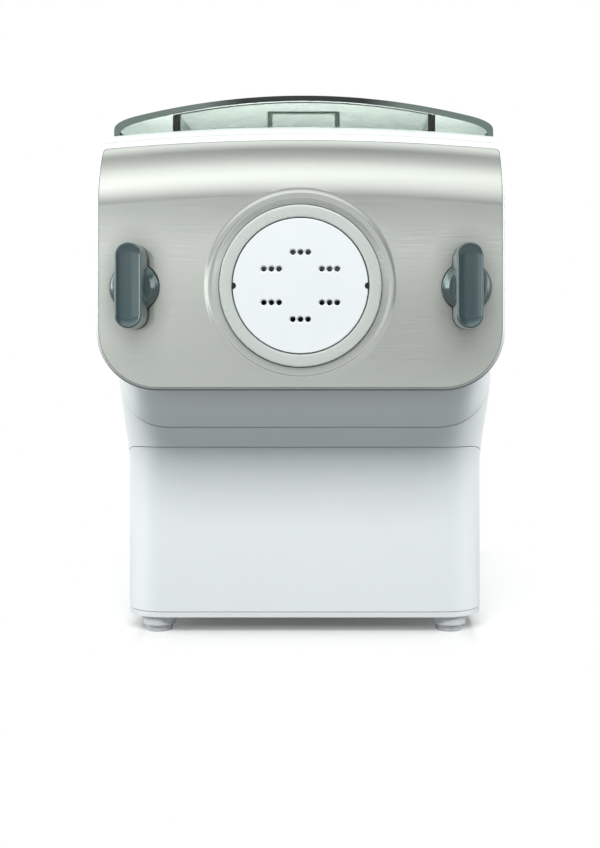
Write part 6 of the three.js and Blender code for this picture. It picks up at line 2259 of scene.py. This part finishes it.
@dataclass
class Studio:
    """A pale floor, a white backdrop, soft lamps, and the camera at the photograph's view."""

    camera_place: Place = (0.0249, -0.8015, 0.162)
    focal: float = 1240.0
    frame_width: float = 600.0
    shift: Point = (-48 / 600, -79 / 600)
    sensor: float = 36.0
    floor_half: float = 6.0
    floor_grey: Colour = (0.34, 0.35, 0.36)
    room_grey: Colour = (0.55, 0.56, 0.55)
    footprint_centre: Place = (0.0, 0.031, 0.0)
    footprint_half: Place = (0.095, 0.114, 0.0)
    white: Colour = (1.0, 1.0, 1.0)
    shade: Colour = (0.7, 1.04, 1.03)
    ambient: float = 0.14
    gloss: float = 1.38
    levels: tuple[Point, ...] = (
        (-90, 0.36), (-3, 0.36), (0, 0.38), (2, 0.41), (3.5, 0.5), (4.8, 0.77), (6.1, 0.28), (8, 0.19),
        (12, 0.34), (16, 0.48), (23, 0.7), (30, 0.85), (38, 0.93), (45, 0.88), (53, 0.74), (61, 0.52),
        (68, 0.35), (75, 0.24), (90, 0.12))
    left_wall: Colour = (0.95, 0.97, 0.96)
    right_wall: Colour = (0.12, 0.13, 0.13)
    side_light: Colour = (4.0, 4.1, 4.1)
    rear_wall: Colour = (0.7, 0.7, 0.7)
    lamps: tuple[tuple[str, Place, Place, Point, float], ...] = (
        ("key", (0.0, -1.35, 1.52), (0.0, -0.1, 0.1), (1.8, 0.75), 40.5),
        ("left", (-1.5, 0.1, 0.3), (-0.1, 0.0, 0.12), (0.9, 0.9), 15.5),
        ("right", (1.5, 0.1, 0.3), (0.1, 0.0, 0.12), (0.9, 0.9), 13.0),
        ("behind", (0.0, 1.7, 0.7), (0.0, 0.17, 0.15), (1.4, 0.8), 10.0))

    def aim_camera(self) -> None:
        """Places the level camera, with its lens and shift for a 600 by 848 picture."""
        data = bpy.data.cameras.new("view")
        data.sensor_fit, data.sensor_width = "HORIZONTAL", self.sensor
        data.lens = self.sensor * self.focal / self.frame_width
        data.shift_x, data.shift_y = self.shift
        data.clip_start = 0.01
        camera = bpy.data.objects.new("view", data)
        camera.location = self.camera_place
        camera.rotation_euler = (QUARTER, 0, 0)
        bpy.context.scene.collection.objects.link(camera)
        bpy.context.scene.camera = camera

    def lamp(self, name: str, place: Place, target: Place, size: Point, power: float) -> None:
        """Adds a soft rectangular lamp that faces a target, and that gloss doesn't mirror.

        Args:
            name: Its name.
            place: Where it stands.
            target: What it faces.
            size: Its width and height.
            power: Its power in watts.
        """
        data = bpy.data.lights.new(name, "AREA")
        data.shape, data.size, data.size_y, data.energy = "RECTANGLE", *size, power
        lamp = bpy.data.objects.new(name, data)
        lamp.location = place
        lamp.rotation_euler = (Vector(target) - Vector(place)).to_track_quat("-Z", "Y").to_euler()
        lamp.visible_camera = lamp.visible_glossy = False
        bpy.context.scene.collection.objects.link(lamp)

    @staticmethod
    def rays(graph: Graph) -> tuple[Signal, Signal, Signal]:
        """Returns whether a ray comes from the camera, from gloss, or through something clear."""
        names = ("Is Camera Ray", "Is Glossy Ray", "Is Transmission Ray")
        return tuple(graph.node("ShaderNodeLightPath", {}, {}, name) for name in names)

    def floor(self) -> None:
        """Lays a wide glossy floor that keeps the machine's shadow and turns white away from it."""
        mesh = bpy.data.meshes.new("floor")
        half = self.floor_half
        corners = [(-half, -half, 0), (half, -half, 0), (half, half, 0), (-half, half, 0)]
        mesh.from_pydata(corners, [], [(0, 1, 2, 3)])
        floor = bpy.data.objects.new("floor", mesh)
        bpy.context.scene.collection.objects.link(floor)
        material = bpy.data.materials.new("studio_floor")
        material.use_nodes = True
        graph = Graph(material.node_tree)
        seen, mirrored, through = self.rays(graph)
        place = graph.position()
        _, back, _ = graph.parts(place)
        away = graph.vector("ABSOLUTE", graph.vector("SUBTRACT", place, self.footprint_centre))
        away = graph.vector("MAXIMUM", graph.vector("SUBTRACT", away, self.footprint_half), (0.0, 0.0, 0.0))
        distance = graph.node("ShaderNodeVectorMath", {"operation": "LENGTH"}, {0: away}, "Value")
        shown = (seen + through + mirrored * ((back - 0.15) * 4).held()).held()
        near = graph.blended(shown, self.floor_grey, self.white)
        far = graph.blended(shown, self.room_grey, self.white)
        surface = {"Base Color": near, "Roughness": 0.14, "IOR": 1.45}
        shader = graph.node("ShaderNodeBsdfPrincipled", {}, surface)
        white = graph.node("ShaderNodeEmission", {}, {"Color": far, "Strength": 1.0})
        fade = ((distance * 17).held() * 0.64 + distance * 4 + 0.1).held()
        share = (seen + through + mirrored).held() * fade
        shader = graph.node("ShaderNodeMixShader", {}, {0: share, 1: shader, 2: white})
        graph.node("ShaderNodeOutputMaterial", {}, {"Surface": shader})
        mesh.materials.append(material)

    def room(self, graph: Graph) -> Signal:
        """Works out the room that gloss mirrors: a window in bands, its walls and its side lights.

        Args:
            graph: The node tree.

        Returns:
            The colour.
        """
        across, back, up = graph.parts(graph.node("ShaderNodeTexCoord", {}, {}, "Generated"))
        stops = [(math.sin(math.radians(angle)) / 2 + 0.5, (level,) * 3) for angle, level in self.levels]
        window = graph.node("ShaderNodeValToRGB", {"stops": stops}, {0: up * 0.5 + 0.5})
        aside = (across - 0.055) * 16
        spot = (1 - aside * aside).held() * ((0.075 - up) * 25).held()
        low, lowest = ((0.75 - up) * 5).held(), ((0.13 - up) * 25).held()
        scale = 1 - across * low * 0.6 - spot * 0.26
        window = graph.node("ShaderNodeVectorMath", {"operation": "SCALE"}, {0: window, "Scale": scale})
        room = graph.blended(((across + 0.17) * -8).held() * lowest, window, self.left_wall)
        room = graph.blended(((across - 0.17) * 6).held() * low, room, self.right_wall)
        wide = across * across
        sides = ((wide - 0.6) * 10).held() * ((wide - 0.96) * -20).held() * (1 - up * up * 1.5).held()
        room = graph.blended((sides * (0.8 - across * 0.2)).held(), room, self.side_light)
        return graph.blended(((back + 0.1) * 4).held(), room, self.rear_wall)

    def world(self) -> None:
        """Lights the scene softly, with white behind the machine and a room for gloss to mirror."""
        world = bpy.data.worlds.new("studio")
        bpy.context.scene.world = world
        world.use_nodes = True
        graph = Graph(world.node_tree)
        seen, mirrored, through = self.rays(graph)
        plain = graph.node("ShaderNodeBackground", {}, {"Color": self.shade, "Strength": self.ambient})
        white = graph.node("ShaderNodeBackground", {}, {"Color": self.white, "Strength": 1.0})
        room = self.room(graph)
        reflected = graph.node("ShaderNodeBackground", {}, {"Color": room, "Strength": self.gloss})
        lit = graph.node("ShaderNodeMixShader", {}, {0: mirrored, 1: plain, 2: reflected})
        shown = graph.node("ShaderNodeMixShader", {}, {0: (seen + through).held(), 1: lit, 2: white})
        graph.node("ShaderNodeOutputWorld", {}, {"Surface": shown})

    def build(self) -> None:
        """Builds the studio."""
        bpy.context.scene.view_settings.view_transform = "Standard"
        self.floor()
        self.world()
        for lamp in self.lamps:
            self.lamp(*lamp)


def main() -> None:
    logging.basicConfig(level=logging.INFO, format="%(name)s: %(message)s")
    studio = Studio()
    studio.aim_camera()
    studio.build()
    FrontPanel().build()
    for side, knob in zip(("left", "right"), KNOBS):
        LockKnob(knob, side).build()
    Extruder().build()
    mixer = Mixer()
    mixer.build()
    casing = Casing(mixer)
    casing.build()
    for end, y in zip(("front", "rear"), casing.foot_ys):
        for side, x in (("left", -casing.foot_x), ("right", casing.foot_x)):
            Foot(f"foot_{end}_{side}", x, y).build()
    Drawer(casing).build()
    Lid(casing.hinge).build()
    Rear().build()
    Controls(casing.control, casing.control_half).build()
    dress_drive()


if __name__ == "__main__":
    main()
